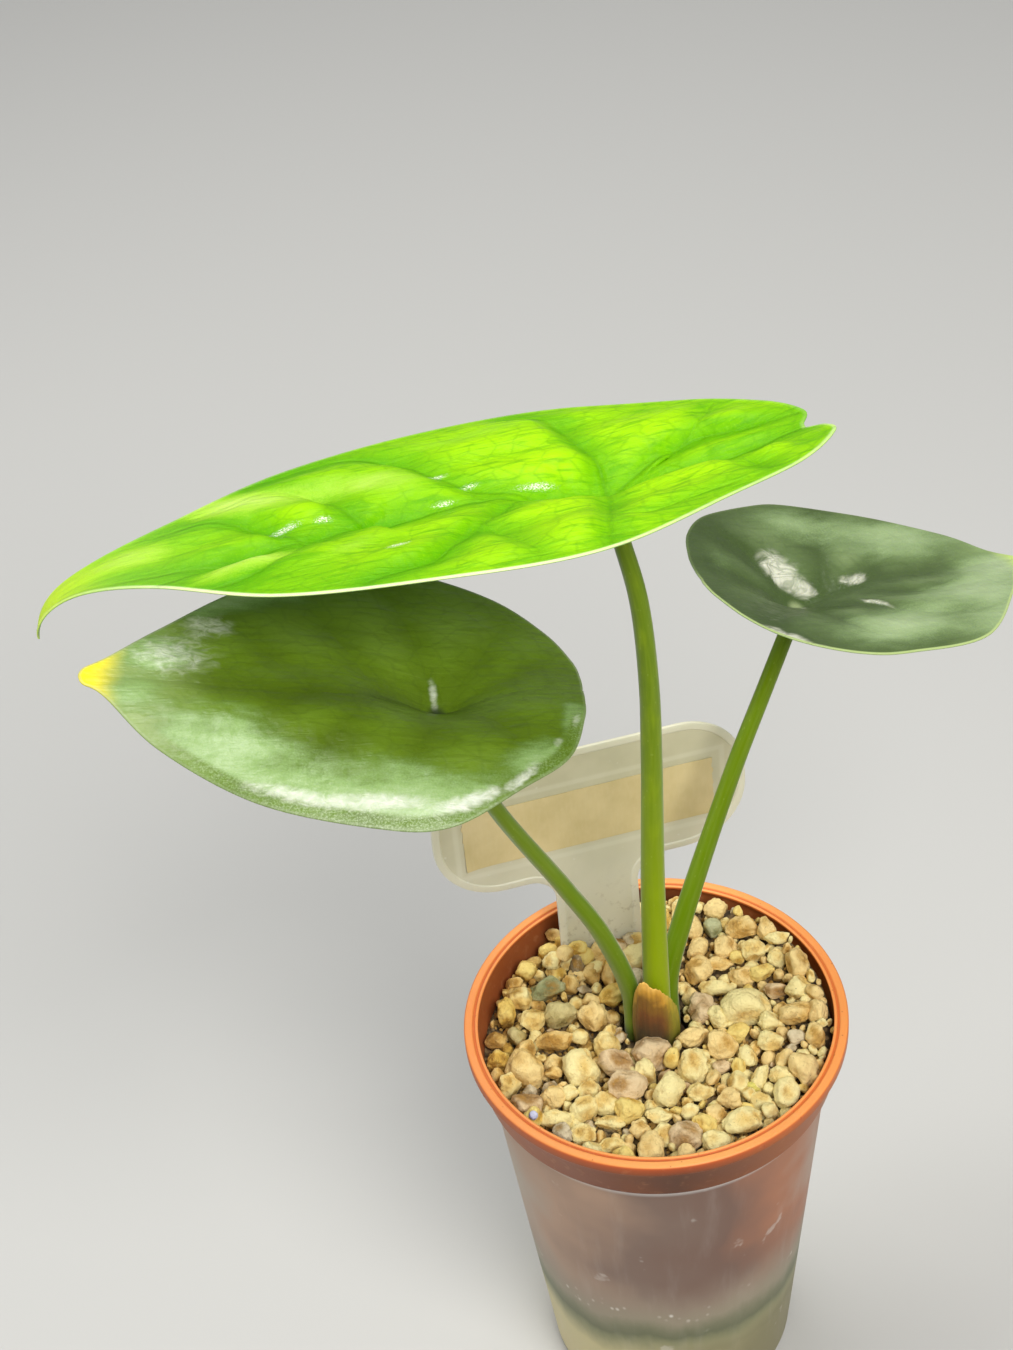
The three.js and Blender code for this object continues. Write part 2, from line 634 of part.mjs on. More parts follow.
// Papery sheath: an open sleeve with a torn upper edge
function sheath() {
  const grid = [];
  const rows = 5;
  const columns = 18;
  const from = SHEATH_EDGE[0][0];
  const to = SHEATH_EDGE[SHEATH_EDGE.length - 1][0];
  for (let i = 0; i <= rows; i += 1) {
    const row = [];
    for (let j = 0; j <= columns; j += 1) {
      const degrees = THREE.MathUtils.lerp(from, to, j / columns);
      const angle = rad(degrees);
      const height = sheathHeight(degrees) * (i / rows);
      const radius = SHEATH.radius * (1 - SHEATH.drawnIn * (i / rows) ** 2);
      row.push(vec(SHEATH.x + radius * cos(angle), SHEATH.y + radius * sin(angle), CROWN.z + height));
    }
    grid.push(row);
  }
  return thickSheet(grid, SHEATH.thickness);
}

// Point of a half outline by its running number, on a smooth curve through the given points
function outlinePoint(points, place) {
  const index = min(points.length - 2, Math.floor(place));
  const t = place - index;
  const at = (k) => {
    if (k < 0) {
      return [0, 1].map((n) => 2 * points[0][n] - points[1][n]);
    }
    if (k >= points.length) {
      return [0, 1].map((n) => 2 * points[points.length - 1][n] - points[points.length - 2][n]);
    }
    return points[k];
  };
  const [a, b, c, d] = [at(index - 1), at(index), at(index + 1), at(index + 2)];
  return [0, 1].map((n) => 0.5 * (2 * b[n] + (c[n] - a[n]) * t
    + (2 * a[n] - 5 * b[n] + 4 * c[n] - d[n]) * t * t
    + (3 * b[n] - a[n] - 3 * c[n] + d[n]) * t * t * t));
}

// Where a spot lies on the flat blade: vein is the running vein number from the tip, across
// goes from -1 at the right margin to 1 at the left
function flatPoint(leaf, vein, across) {
  const index = min(VEINS.length - 2, Math.floor(vein));
  const part = vein - index;
  const midrib = THREE.MathUtils.lerp(VEINS[index].midrib, VEINS[index + 1].midrib, part);
  const margin = THREE.MathUtils.lerp(VEINS[index].margin, VEINS[index + 1].margin, part);
  const half = across >= 0 ? leaf.outline.left : leaf.outline.right;
  const edge = outlinePoint(half, margin);
  const notch = half[half.length - 1][0];
  const rib = midrib < 0 ? midrib * (notch / VEINS[VEINS.length - 1].midrib) : midrib;
  const t = abs(across);
  const bow = VEIN_BOW * t * (1 - t) * 4 * sin(PI * vein / (VEINS.length - 1));
  return {
    u: (rib + (edge[0] - rib) * t + bow) * leaf.reach,
    v: edge[1] * across * leaf.halfWidth,
  };
}

// Cushions between the veins: how steep they start, how much the margin flattens them, and how
// soon they rise at the tip and the notch
const CUSHION = { steepness: 4, flattened: 0.85, ends: 0.7 };

// Raised cushions between the veins, flatter at the margin, and the groove along the midrib
function relief(leaf, vein, across, v) {
  const t = abs(across);
  const ends = sin(PI * vein / (VEINS.length - 1));
  const rise = 1 - (1 - t) ** CUSHION.steepness;
  const cushion = abs(sin(PI * vein)) * rise * (1 - CUSHION.flattened * t * t) * ends ** CUSHION.ends;
  const groove = exp(-(v * v) / (2 * MIDRIB_GROOVE.spread ** 2)) * min(1, 2 * ends);
  return leaf.quilting * cushion - MIDRIB_GROOVE.depth * groove;
}

// Sum of small steps along a line that turns, as [distance along, rise]
function bentLine(slopeAt, length, steps = 24) {
  let along = 0;
  let rise = 0;
  for (let n = 0; n < steps; n += 1) {
    const slope = slopeAt((n + 0.5) / steps);
    along += cos(slope) * length / steps;
    rise += sin(slope) * length / steps;
  }
  return [along, rise];
}

function leafAxes(leaf) {
  const turn = new THREE.Matrix4().makeRotationZ(rad(leaf.heading));
  turn.multiply(new THREE.Matrix4().makeRotationY(-rad(leaf.pitch)));
  turn.multiply(new THREE.Matrix4().makeRotationX(rad(leaf.roll)));
  return turn;
}

// Place in space of a spot on the blade's middle surface
function bladePoint(leaf, vein, across) {
  const { u, v } = flatPoint(leaf, vein, across);
  const tail = -leaf.outline.left[leaf.outline.left.length - 1][0] * leaf.reach * 1.15;
  const slopeAt = (w) => (w >= 0
    ? rad(leaf.arch) * (w / leaf.reach) + rad(leaf.hook) * (w / leaf.reach) ** leaf.hookPower
    : rad(leaf.tail) * (w / tail));
  const [along, rise] = bentLine((n) => slopeAt(u * n), u, 48);
  const camber = across >= 0 ? leaf.camber.left : leaf.camber.right;
  const t = abs(v) / leaf.halfWidth;
  const [out, lift] = bentLine((n) => rad(camber[0]) + rad(camber[1]) * t * n, abs(v), 12);
  const dip = leaf.funnel.depth * (1 - exp(-(u * u + v * v) / (2 * leaf.funnel.spread ** 2)));
  const height = lift + dip + relief(leaf, vein, across, v);
  const side = out * Math.sign(v);
  const twist = rad(leaf.twist) * (u / leaf.reach);
  const turnedSide = side * cos(twist) - height * sin(twist);
  const turnedHeight = side * sin(twist) + height * cos(twist);
  const slope = slopeAt(u);
  const place = vec(
    along - sin(slope) * turnedHeight,
    turnedSide + leaf.sweep * (u / leaf.reach) ** 2 * Math.sign(u),
    rise + cos(slope) * turnedHeight,
  );
  return place.applyMatrix4(leafAxes(leaf)).add(vec(...leaf.navel));
}

function blade(leaf) {
  const rows = ROWS_PER_VEIN * (VEINS.length - 1);
  const grid = [];
  for (let i = 0; i <= rows; i += 1) {
    const row = [];
    for (let j = -COLUMNS; j <= COLUMNS; j += 1) {
      const across = Math.sign(j) * (abs(j) / COLUMNS) ** COLUMN_POWER;
      row.push(bladePoint(leaf, i / ROWS_PER_VEIN, across));
    }
    grid.push(row);
  }
  return thickSheet(grid, BLADE_THICKNESS);
}

// Leaf stalk, from the crown to just under the blade's navel, with its end cut parallel to the blade
function petiole(leaf) {
  const up = vec(0, 0, 1).transformDirection(leafAxes(leaf));
  const seat = BLADE_THICKNESS / 2 + MIDRIB_GROOVE.depth + GAP;
  const navel = vec(...leaf.navel);
  const points = leaf.stalk.map((p) => vec(...p));
  points.push(navel.clone().addScaledVector(up, -seat));
  return taperedTube(points, leaf.stalkRadii, 10, 18, up);
}

function finish(color, roughness, extra = {}) {
  return new THREE.MeshStandardMaterial({ color, roughness, ...extra });
}

const FINISHES = {
  frosted: finish(0xcfcabc, 0.45, { transparent: true, opacity: 0.55 }),
  terracotta: finish(0xd2693c, 0.5),
  water: finish(0x8f9a5c, 0.1, { transparent: true, opacity: 0.6 }),
  gravel: finish(0xc9b27c, 0.95),
  corm: finish(0x6e5a3c, 0.9),
  papery: finish(0xa9733a, 0.85),
  stalk: finish(0x7fa828, 0.4),
  youngBlade: finish(0x8fd020, 0.4),
  matureBlade: finish(0x4d7a2e, 0.35),
  label: finish(0xd8d5c4, 0.4, { transparent: true, opacity: 0.8 }),
  tape: finish(0xe0c894, 0.6),
};

const plant = new THREE.Group();

function addPiece(name, geometry, material) {
  const mesh = new THREE.Mesh(geometry, material);
  mesh.name = name;
  plant.add(mesh);
}

addPiece('outer_cup', outerCup(), FINISHES.frosted);
addPiece('reservoir_water', reservoirWater(), FINISHES.water);
addPiece('inner_pot', innerPot(), FINISHES.terracotta);
addPiece('substrate', substrate(), FINISHES.gravel);
addPiece('rootstock', geometryOf(rootstock()), FINISHES.corm);
addPiece('sheath', sheath(), FINISHES.papery);
for (const leaf of LEAVES) {
  const bladeFinish = leaf.quilting > 1 ? FINISHES.youngBlade : FINISHES.matureBlade;
  addPiece(`petiole_${leaf.name}`, petiole(leaf), FINISHES.stalk);
  addPiece(`blade_${leaf.name}`, blade(leaf), bladeFinish);
}
addPiece('label', labelBody(), FINISHES.label);
addPiece('label_tape', labelTape(), FINISHES.tape);

export default plant;
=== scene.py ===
# The look of a potted alocasia: leaves, stalks, gravel, pot, frosted cup and plant label.
# Shapes are worked out in millimetres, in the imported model's frame, and stored in metres.
import math

import bmesh
import bpy
import numpy as np
from mathutils import Matrix, Vector


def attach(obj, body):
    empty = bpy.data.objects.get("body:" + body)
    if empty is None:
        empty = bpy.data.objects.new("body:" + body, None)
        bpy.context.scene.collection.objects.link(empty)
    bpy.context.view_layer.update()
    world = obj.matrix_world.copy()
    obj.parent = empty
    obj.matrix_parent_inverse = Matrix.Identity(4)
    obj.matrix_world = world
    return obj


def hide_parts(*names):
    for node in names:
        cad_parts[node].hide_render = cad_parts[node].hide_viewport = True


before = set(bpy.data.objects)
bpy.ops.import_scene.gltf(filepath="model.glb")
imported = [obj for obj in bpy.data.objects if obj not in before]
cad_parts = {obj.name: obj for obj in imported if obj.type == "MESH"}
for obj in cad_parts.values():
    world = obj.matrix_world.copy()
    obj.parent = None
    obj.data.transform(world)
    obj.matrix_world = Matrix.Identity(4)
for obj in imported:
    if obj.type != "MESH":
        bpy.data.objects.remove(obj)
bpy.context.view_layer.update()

MM = 0.001
GAP = 0.3
ROOT = "root"
FULL_TURN = 2 * math.pi
scene = bpy.context.scene

# Camera of the photograph: a long lens that looks down on the pot
LENS_MM = 64.0
CAMERA_PLACE = (-0.020614, -0.292826, 0.421210)
CAMERA_RIGHT = (0.994784, -0.065794, -0.077944)
CAMERA_UP = (0.102000, 0.641675, 0.760164)
CAMERA_BACK = (0.0, -0.764149, 0.645039)

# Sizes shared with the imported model, in millimetres
LIP_HEIGHT = 90.0
LIP_RADIUS = 35.0
CUP_BASE_RADIUS = 23.8
CUP_MOUTH_RADIUS = 31.4
CUP_HEIGHT = 79.4
CUP_WALL = 1.0
CUP_FOOT_FILLET = 1.6
POT_WALL = 0.95
POT_FLOOR = 32.0
POT_FLOOR_RADIUS = 22.8
POT_LIP_DEPTH = 2.6
POT_BAND_TOP_RADIUS = 34.3
POT_BAND_BOTTOM_RADIUS = 32.6
POT_BAND_BOTTOM = CUP_HEIGHT + GAP
POT_SHOULDER_RADIUS = 30.05
POT_FLANGE = {"radius": 32.4, "depth": 0.8}
POT_INNER_STEP = POT_BAND_BOTTOM + 1.4
WATER_LEVEL = 29.0
CROWN = {"x": 0.3, "y": 4.2, "hole": 7.1}
BLADE_THICKNESS = 0.6
# Towards its margin a blade thins to this share, over this reach, and its grid closes up
BLADE_RIM = {"share": 0.55, "reach": 6.0, "crowding": 1.1}
MIDRIB_GROOVE = {"depth": 0.6, "spread": 1.6}

# Groove round the pot's lip: distance out from the flange, and depth
POT_GROOVE = [(1.15, 0), (0.95, 0.3), (0.6, 0.3), (0.5, 0.02), (0, 0.05)]
DRAIN_HOLES = {"count": 6, "circle": 16.0, "radius": 3.0}

# The label in millimetres and degrees, the line on its field, and its tape
LABEL = {
    "x": -7.8, "y": 24.6, "head_bottom": 104.5, "yaw": 12.4, "lean": 6.0, "roll": -1.1,
    "head_width": 60.0, "head_height": 28.0, "corner": 12.5, "stem_width": 16.0, "fillet": 5.0,
    "stem_length": 58.0, "stem_middle": -20.0, "tip_length": 20.0, "tip_inset": 2.7,
    "thickness": 0.8, "border": 0.18,
}
FRAME_LINE = {"half_width": 25.6, "middle": 12.8, "half_height": 8.0}
TAPE = {"left": -24.3, "right": 23.6, "bottom": 6.5, "top": 19.0, "thickness": 0.13}

# Leaves. The bloom patches are silvery bloom with painted sheen and light, and the glints are
# painted highlights. Both are soft oval patches: place in shares of the reach and the half
# width, length and width in millimetres, turn in degrees and strength
LEAVES = {
    "1": {
        "puff": 4.6, "shade": 3.4, "wrinkle": 0.0, "groove": 0.9, "fold": 2.0,
        "bloom_and_painted_light": [
            (0.62, -0.40, 20.0, 7.0, -14, 0.75), (0.40, -0.36, 17.0, 6.0, -20, 0.55),
            (0.60, 0.36, 13.0, 4.5, 12, 0.7), (0.42, 0.40, 15.0, 5.0, 35, 0.3),
            (0.82, -0.05, 17.0, 6.0, 0, 0.6), (0.20, -0.75, 24.0, 6.0, 0, 0.3),
        ],
        "glints": [
            (0.54, -0.045, 4.6, 1.8, 12, 0.50), (0.475, -0.05, 2.8, 1.4, 0, 0.46),
            (0.35, 0.50, 3.2, 2.2, 20, 0.54), (0.277, -0.357, 3.2, 1.2, 10, 0.48),
            (0.224, -0.221, 3.0, 1.1, 0, 0.46), (0.272, -0.082, 3.4, 1.1, 0, 0.46),
            (0.115, -0.12, 5.2, 1.4, 0, 0.54),
        ],
        "navel": (-2.7, 0.9, 206.3), "reach": 90.5, "half_width": 31.0,
        "heading": 182.3, "pitch": -3.2, "roll": 12.7,
        "arch": 0.0, "hook": -87.0, "hook_power": 15, "tail": 16.3,
        "camber_left": (9.6, -3.7), "camber_right": (5.5, -5.4),
        "twist": -4.0, "sweep": -0.6, "funnel": (1.5, 8.0), "quilting": 2.1,
        "left": [
            (1, 0), (0.968, 0.075), (0.88, 0.155), (0.75, 0.35), (0.55, 0.77), (0.3, 0.95),
            (0.05, 1), (-0.18, 0.66), (-0.325, 0.5), (-0.39, 0.25), (-0.383, 0.08), (-0.35, 0),
        ],
        "right": [
            (1, 0), (0.968, 0.075), (0.88, 0.155), (0.75, 0.36), (0.55, 0.72), (0.3, 0.95),
            (0.05, 1), (-0.17, 0.79), (-0.3, 0.48), (-0.36, 0.2), (-0.35, 0.06), (-0.35, 0),
        ],
        "stalk": [
            (0.6, 2.4, 79.3), (1, 2.5, 117), (2, 2.4, 150),
            (2.2, 2, 168), (1.2, 1.2, 185.7), (-0.8, 1, 197),
        ],
        "stalk_radii": (2.6, 1.9, 1.35),
    },
    "2": {
        "puff": 5.5, "shade": 4.5, "wrinkle": 0.30, "groove": 0.1, "fold": 10.0,
        "bloom_and_painted_light": [
            (0.24, 1.10, 42.0, 20.0, 0, 0.95), (0.62, 0.55, 18.0, 14.0, -20, 0.6),
            (-0.26, 0.62, 9.0, 6.5, 0, 0.6), (0.46, -0.80, 22.0, 9.0, 12, 0.35),
            (0.78, -0.22, 9.0, 9.0, 0, 0.6), (0.86, 0.15, 10.0, 7.0, 0, 0.45),
            (-0.37, 0.34, 4.0, 9.0, 0, 0.5), (0.60, -0.70, 20.0, 6.5, 24, 0.7),
            (-0.36, 0.42, 3.0, 8.0, 0, 0.4),
        ],
        "glints": [
            (0.44, 0.80, 14.0, 2.4, -14, 0.65), (0.20, 0.86, 16.0, 2.3, -2, 0.8),
            (-0.05, 0.86, 10.0, 2.2, 22, 0.85), (-0.20, 0.72, 6.0, 1.7, 42, 0.7),
            (-0.30, 0.51, 2.6, 1.3, 50, 0.5), (-0.365, 0.33, 1.3, 4.0, -20, 0.5),
            (0.74, -0.20, 13.0, 9.0, -15, 0.55), (0.64, -0.46, 8.0, 5.0, 0, 0.6),
            (0.006, -0.11, 1.3, 6.0, 4, 0.6),
        ],
        "navel": (-31.6, -20.1, 185.2), "reach": 53.4, "half_width": 28.5,
        "heading": 182.0, "pitch": 12.6, "roll": 13.2,
        "arch": -3.0, "hook": 5.5, "hook_power": 6, "tail": 2.0,
        "camber_left": (10.7, -53.0), "camber_right": (9.6, 10.4),
        "twist": -7.8, "sweep": -0.3, "funnel": (2.5, 8.0), "quilting": 0.5,
        "left": [
            (1, 0), (0.985, 0.07), (0.93, 0.15), (0.78, 0.52), (0.52, 0.84), (0.2, 0.99),
            (0, 0.99), (-0.19, 0.79), (-0.33, 0.6), (-0.39, 0.3), (-0.405, 0.12), (-0.41, 0),
        ],
        "right": [
            (1, 0), (0.985, 0.07), (0.93, 0.16), (0.78, 0.42), (0.52, 0.79), (0.2, 0.99),
            (0, 0.99), (-0.21, 0.84), (-0.345, 0.58), (-0.405, 0.32), (-0.415, 0.14), (-0.41, 0),
        ],
        "stalk": [
            (-3.5, 5.1, 79.3), (-3.9, 3.9, 92), (-8.5, 0, 112.2),
            (-14.4, -3.5, 128.3), (-24.4, -11, 155.2),
        ],
        "stalk_radii": (1.9, 1.5, 1.25),
    },
    "3": {
        "puff": 6.0, "shade": 3.6, "wrinkle": 0.3, "groove": 0.4, "fold": 4.0,
        "bloom_and_painted_light": [
            (0.56, 0.50, 24.0, 11.0, -8, 0.6), (0.16, 0.78, 16.0, 8.0, 0, 0.42),
            (0.24, -0.68, 21.0, 9.5, 8, 0.74), (0.66, -0.36, 20.0, 8.0, 0, 0.75),
            (0.84, -0.10, 15.0, 9.0, 0, 0.7), (-0.28, 0.30, 7.0, 7.0, 0, 0.2),
            (0.66, -0.70, 18.0, 8.0, 30, 0.6), (0.92, -0.02, 12.0, 7.0, 0, 0.5),
        ],
        "glints": [
            (0.0, 0.30, 6.0, 7.6, 20, 1.0), (0.07, 0.13, 3.8, 3.2, 0, 0.9),
            (0.27, 0.12, 5.4, 2.7, 10, 0.8), (0.25, -0.31, 6.0, 1.3, -60, 0.7),
            (0.014, -0.05, 1.2, 1.2, 0, 0.8), (-0.26, -0.80, 11.0, 2.3, -31, 1.0),
        ],
        "navel": (30.6, 29.8, 157.8), "reach": 47.5, "half_width": 24.6,
        "heading": 16.2, "pitch": -18.6, "roll": -17.5,
        "arch": 14.0, "hook": -7.2, "hook_power": 6, "tail": 13.0,
        "camber_left": (20.3, 4.3), "camber_right": (-0.2, -16.4),
        "twist": -3.3, "sweep": 1.3, "funnel": (2.5, 8.0), "quilting": 0.8,
        "left": [
            (1, 0), (0.97, 0.06), (0.9, 0.18), (0.78, 0.47), (0.52, 0.8), (0.2, 1),
            (0, 0.98), (-0.24, 0.82), (-0.37, 0.57), (-0.42, 0.3), (-0.43, 0.1), (-0.43, 0),
        ],
        "right": [
            (1, 0), (0.97, 0.06), (0.9, 0.18), (0.78, 0.49), (0.52, 0.94), (0.2, 1),
            (0, 0.98), (-0.26, 0.81), (-0.39, 0.59), (-0.44, 0.3), (-0.44, 0.1), (-0.43, 0),
        ],
        "stalk": [
            (3, 7, 79.3), (3.3, 7.3, 92), (6.6, 9.7, 103.6), (17.6, 19.5, 129.9), (24.1, 25, 143.2),
        ],
        "stalk_radii": (2.2, 1.65, 1.4),
    },
}

# Rows of each blade's grid: where they leave the midrib (share of the reach) and the number of
# the outline point that they meet
GRID_ROWS = [
    (1.0, 0.0), (0.8, 2.4), (0.62, 3.1), (0.45, 3.7), (0.29, 4.3),
    (0.14, 4.9), (0.03, 5.9), (-0.02, 7.0), (-0.05, 8.2), (-0.35, 11.0),
]
ROW_BOW = -0.04
LAST_ROW = len(GRID_ROWS) - 1

# Veins of each blade, the midrib first: the strength of its shade, then points in shares of the
# reach and of the half width, whose left half is positive
VEIN_LINES = {
    "1": [
        (1.0, [(-0.35, 0), (0, 0), (0.3, -0.03), (0.45, 0.08), (0.6, 0.2), (0.78, 0.2), (1, 0)]),
        (1.0, [(0, 0), (0.005, -0.28), (0.03, -0.47), (0.08, -0.83), (0.14, -0.93)]),
        (0.8, [
            (0.12, -0.04), (0.2, -0.14), (0.27, -0.32), (0.34, -0.57), (0.43, -0.72), (0.62, -0.6),
        ]),
        (0.9, [(0.41, 0.02), (0.46, -0.22), (0.5, -0.38), (0.58, -0.46), (0.7, -0.36)]),
        (0.9, [(0.51, 0.14), (0.58, -0.08), (0.66, -0.24), (0.76, -0.24)]),
        (0.95, [(0.1, -0.02), (0.15, 0.03), (0.2, 0.28), (0.25, 0.52), (0.31, 0.71), (0.4, 0.84)]),
        (0.9, [(0.45, 0.08), (0.49, 0.17), (0.54, 0.36), (0.6, 0.5), (0.68, 0.55)]),
        (0.8, [(0.6, 0.2), (0.68, 0.29), (0.76, 0.33), (0.84, 0.24)]),
        (0.5, [(0.2, 0.4), (0.17, 0.6), (0.13, 0.9)]),
        (0.9, [(0, 0), (0.002, 0.21), (0.01, 0.65), (0.02, 0.93)]),
        (0.5, [(0.005, 0.55), (-0.05, 0.62), (-0.13, 0.55), (-0.2, 0.52)]),
        (0.8, [(0, 0), (-0.08, -0.01), (-0.15, -0.01), (-0.21, 0.14), (-0.27, 0.46)]),
        (0.5, [(-0.15, 0.0), (-0.23, 0.16), (-0.3, 0.12), (-0.35, 0.25)]),
        (0.9, [(0, 0), (-0.1, -0.2), (-0.17, -0.3), (-0.27, -0.24), (-0.35, -0.18)]),
        (0.6, [(-0.13, -0.25), (-0.19, -0.42), (-0.22, -0.62)]),
    ],
    "2": [
        (0.9, [(-0.05, 0), (0, 0), (0.1, 0.0), (0.3, 0.1), (0.52, 0.1), (0.75, 0.02), (1, 0)]),
        (0.7, [(0, 0), (0.04, -0.35), (0.1, -0.7), (0.18, -0.93)]),
        (0.5, [(0.16, 0.02), (0.26, -0.35), (0.36, -0.66), (0.5, -0.8)]),
        (0.5, [(0.36, 0.1), (0.46, -0.2), (0.58, -0.46), (0.72, -0.42)]),
        (0.6, [(0, 0), (0.05, 0.4), (0.12, 0.72), (0.22, 0.95)]),
        (0.6, [(0.2, 0.06), (0.3, 0.45), (0.42, 0.7), (0.56, 0.76)]),
        (0.5, [(0.4, 0.1), (0.5, 0.34), (0.64, 0.5), (0.78, 0.4)]),
        (0.6, [(0, 0), (-0.12, -0.3), (-0.22, -0.62)]),
        (0.5, [(0, 0), (-0.2, -0.14), (-0.34, -0.3)]),
        (0.5, [(0, 0), (-0.14, 0.3), (-0.24, 0.62)]),
    ],
    "3": [
        (1.0, [(-0.08, 0), (0, 0), (0.1, 0.05), (0.3, 0.05), (0.6, 0.04), (1, 0)]),
        (1.0, [(0.01, 0.02), (0.13, 0.14), (0.2, 0.4), (0.28, 0.72), (0.32, 0.9)]),
        (0.7, [(0.3, 0.05), (0.42, 0.28), (0.52, 0.6), (0.6, 0.72)]),
        (0.6, [(0.55, 0.05), (0.66, 0.2), (0.78, 0.36)]),
        (0.9, [(0, 0), (0.14, -0.2), (0.3, -0.45), (0.52, -0.62), (0.7, -0.6)]),
        (0.8, [(0.22, 0.03), (0.36, -0.14), (0.55, -0.24), (0.8, -0.26)]),
        (0.6, [(0, 0), (0.02, -0.4), (0.1, -0.75), (0.3, -0.88)]),
        (1.0, [(0, 0), (-0.08, 0.3), (-0.14, 0.5), (-0.22, 0.62)]),
        (0.7, [(0, 0), (-0.15, 0.1), (-0.32, 0.24)]),
        (0.8, [(0, 0), (-0.12, -0.3), (-0.26, -0.55)]),
    ],
}
VEIN_BLEND = 1.5
LIP_OF_VEIN = {"away": 2.8, "steep": 1.7, "gentle": 5.0}
VEIN_THINNING = 0.5
# Relief between the veins: cushions, lips and swells, kept low near the margin and the navel
RELIEF = {
    "margin": 5.5, "navel": 50.0, "power": 1.4, "cushion": 0.6, "lip": 0.55,
    "swell": 0.22, "ripple": 0.05,
}

# Helpers for numbers


def lerp(a, b, part):
    return a + (b - a) * part


def seeded_random(seed):
    """Park-Miller generator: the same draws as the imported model's."""
    while True:
        seed = seed * 16807 % 2147483647
        yield seed / 2147483647


def ripple(u, v, scale, seed, waves=7):
    """Smooth uneven surface between about -1 and 1, from a few seeded waves."""
    draws = np.random.default_rng(seed)
    total = np.zeros_like(u, dtype=float)
    for _ in range(waves):
        angle = draws.uniform(0, FULL_TURN)
        length = scale * draws.uniform(0.6, 1.7)
        phase = draws.uniform(0, FULL_TURN)
        total += np.sin((u * math.cos(angle) + v * math.sin(angle)) * FULL_TURN / length + phase)
    return total / math.sqrt(waves)


def unit(vectors):
    return vectors / np.maximum(np.linalg.norm(vectors, axis=-1, keepdims=True), 1e-9)


def turn(axis, angle):
    """Rotation about axis 0, 1 or 2."""
    a, b = (axis + 1) % 3, (axis + 2) % 3
    matrix = np.eye(3)
    matrix[a, a] = matrix[b, b] = math.cos(angle)
    matrix[b, a] = math.sin(angle)
    matrix[a, b] = -matrix[b, a]
    return matrix


def turned(x, y, z):
    """Rotation about x, then y, then z."""
    return turn(2, z) @ turn(1, y) @ turn(0, x)


def distances(path):
    """Distance along a path at each of its points."""
    return np.concatenate([[0], np.cumsum(np.linalg.norm(np.diff(path, axis=0), axis=1))])


def smooth_curve(points, count):
    """Evenly spaced points along a centripetal Catmull-Rom curve."""
    knots = np.array(points, dtype=float)
    knots = np.vstack([2 * knots[0] - knots[1], knots, 2 * knots[-1] - knots[-2]])
    times = np.cumsum([0, *np.linalg.norm(np.diff(knots, axis=0), axis=1) ** 0.5])

    def between(a, b, first, last, t):
        return lerp(a, b, (t - times[first]) / (times[last] - times[first]))

    fine = []
    for n in range(1, len(knots) - 2):
        for t in np.linspace(times[n], times[n + 1], 60, endpoint=False):
            a = [between(knots[k], knots[k + 1], k, k + 1, t) for k in (n - 1, n, n + 1)]
            b = [between(a[k], a[k + 1], n - 1 + k, n + 1 + k, t) for k in (0, 1)]
            fine.append(between(*b, n, n + 1, t))
    fine = np.array([*fine, knots[-2]])
    along = distances(fine)
    wanted = np.linspace(0, along[-1], count)
    return np.column_stack([np.interp(wanted, along, column) for column in fine.T])


# Meshes. A shape is a pair: points in millimetres and faces


def add_piece(name, shape, material, node, values=None, mend=True):
    """Makes a piece that replaces a node. values are named numbers or vectors for each point."""
    points, faces = shape
    mesh = bpy.data.meshes.new(name)
    mesh.from_pydata((np.asarray(points) * MM).tolist(), [], faces)
    for key, numbers in (values or {}).items():
        numbers = np.asarray(numbers, dtype=np.float32)
        kind, field = ("FLOAT", "value") if numbers.ndim == 1 else ("FLOAT_VECTOR", "vector")
        mesh.attributes.new(key, kind, "POINT").data.foreach_set(field, numbers.ravel())
    mesh.polygons.foreach_set("use_smooth", [True] * len(mesh.polygons))
    mesh.materials.append(material)
    mesh.validate()
    mesh.update()
    piece = bpy.data.objects.new(name, mesh)
    scene.collection.objects.link(piece)
    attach(piece, ROOT)
    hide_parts(node)
    if mend:
        clean_mesh(mesh)
    return piece


def clean_mesh(mesh):
    """Removes points that no face uses and turns the faces outwards."""
    shape = bmesh.new()
    shape.from_mesh(mesh)
    bmesh.ops.delete(shape, geom=[v for v in shape.verts if not v.link_faces], context="VERTS")
    bmesh.ops.recalc_face_normals(shape, faces=shape.faces)
    shape.to_mesh(mesh)
    shape.free()


def faces_of_ids(ids):
    """Quads of a grid of point numbers. A quad with equal corners becomes a triangle or goes."""
    faces = []
    for row, after in zip(ids, ids[1:]):
        for j in range(len(row) - 1):
            corners = [row[j], row[j + 1], after[j + 1], after[j]]
            kept = [int(c) for n, c in enumerate(corners) if c != corners[n - 1]]
            if len(set(kept)) == len(kept) > 2:
                faces.append(kept)
    return faces


def ring_ids(rows, columns):
    """Point numbers of stacked rings, with the first column repeated at the end."""
    ids = np.arange(rows * columns).reshape(rows, columns)
    return np.hstack([ids, ids[:, :1]])


def closed_tube(rings, foot, head):
    """Stacked rings of points, closed at a point at each end."""
    sides = len(rings[0])
    faces = faces_of_ids(ring_ids(len(rings), sides))
    low = len(rings) * sides
    last = low - sides
    for k in range(sides):
        after = (k + 1) % sides
        faces += [[low, after, k], [low + 1, last + k, last + after]]
    return np.concatenate([*rings, [foot], [head]]), faces


def there_and_back(top, bottom):
    """Rows that run along the top of a sheet and back along its bottom."""
    return np.concatenate([top, bottom[:, ::-1]], axis=1)


def slab(top, bottom):
    """A closed sheet between two grids of points."""
    loop = there_and_back(top, bottom)
    rows, wide = loop.shape[:2]
    faces = faces_of_ids(ring_ids(rows, wide))
    for start in (0, (rows - 1) * wide):
        for j in range(wide // 2 - 1):
            faces.append([start + j, start + j + 1, start + wide - 2 - j, start + wide - 1 - j])
    return loop.reshape(-1, 3), faces


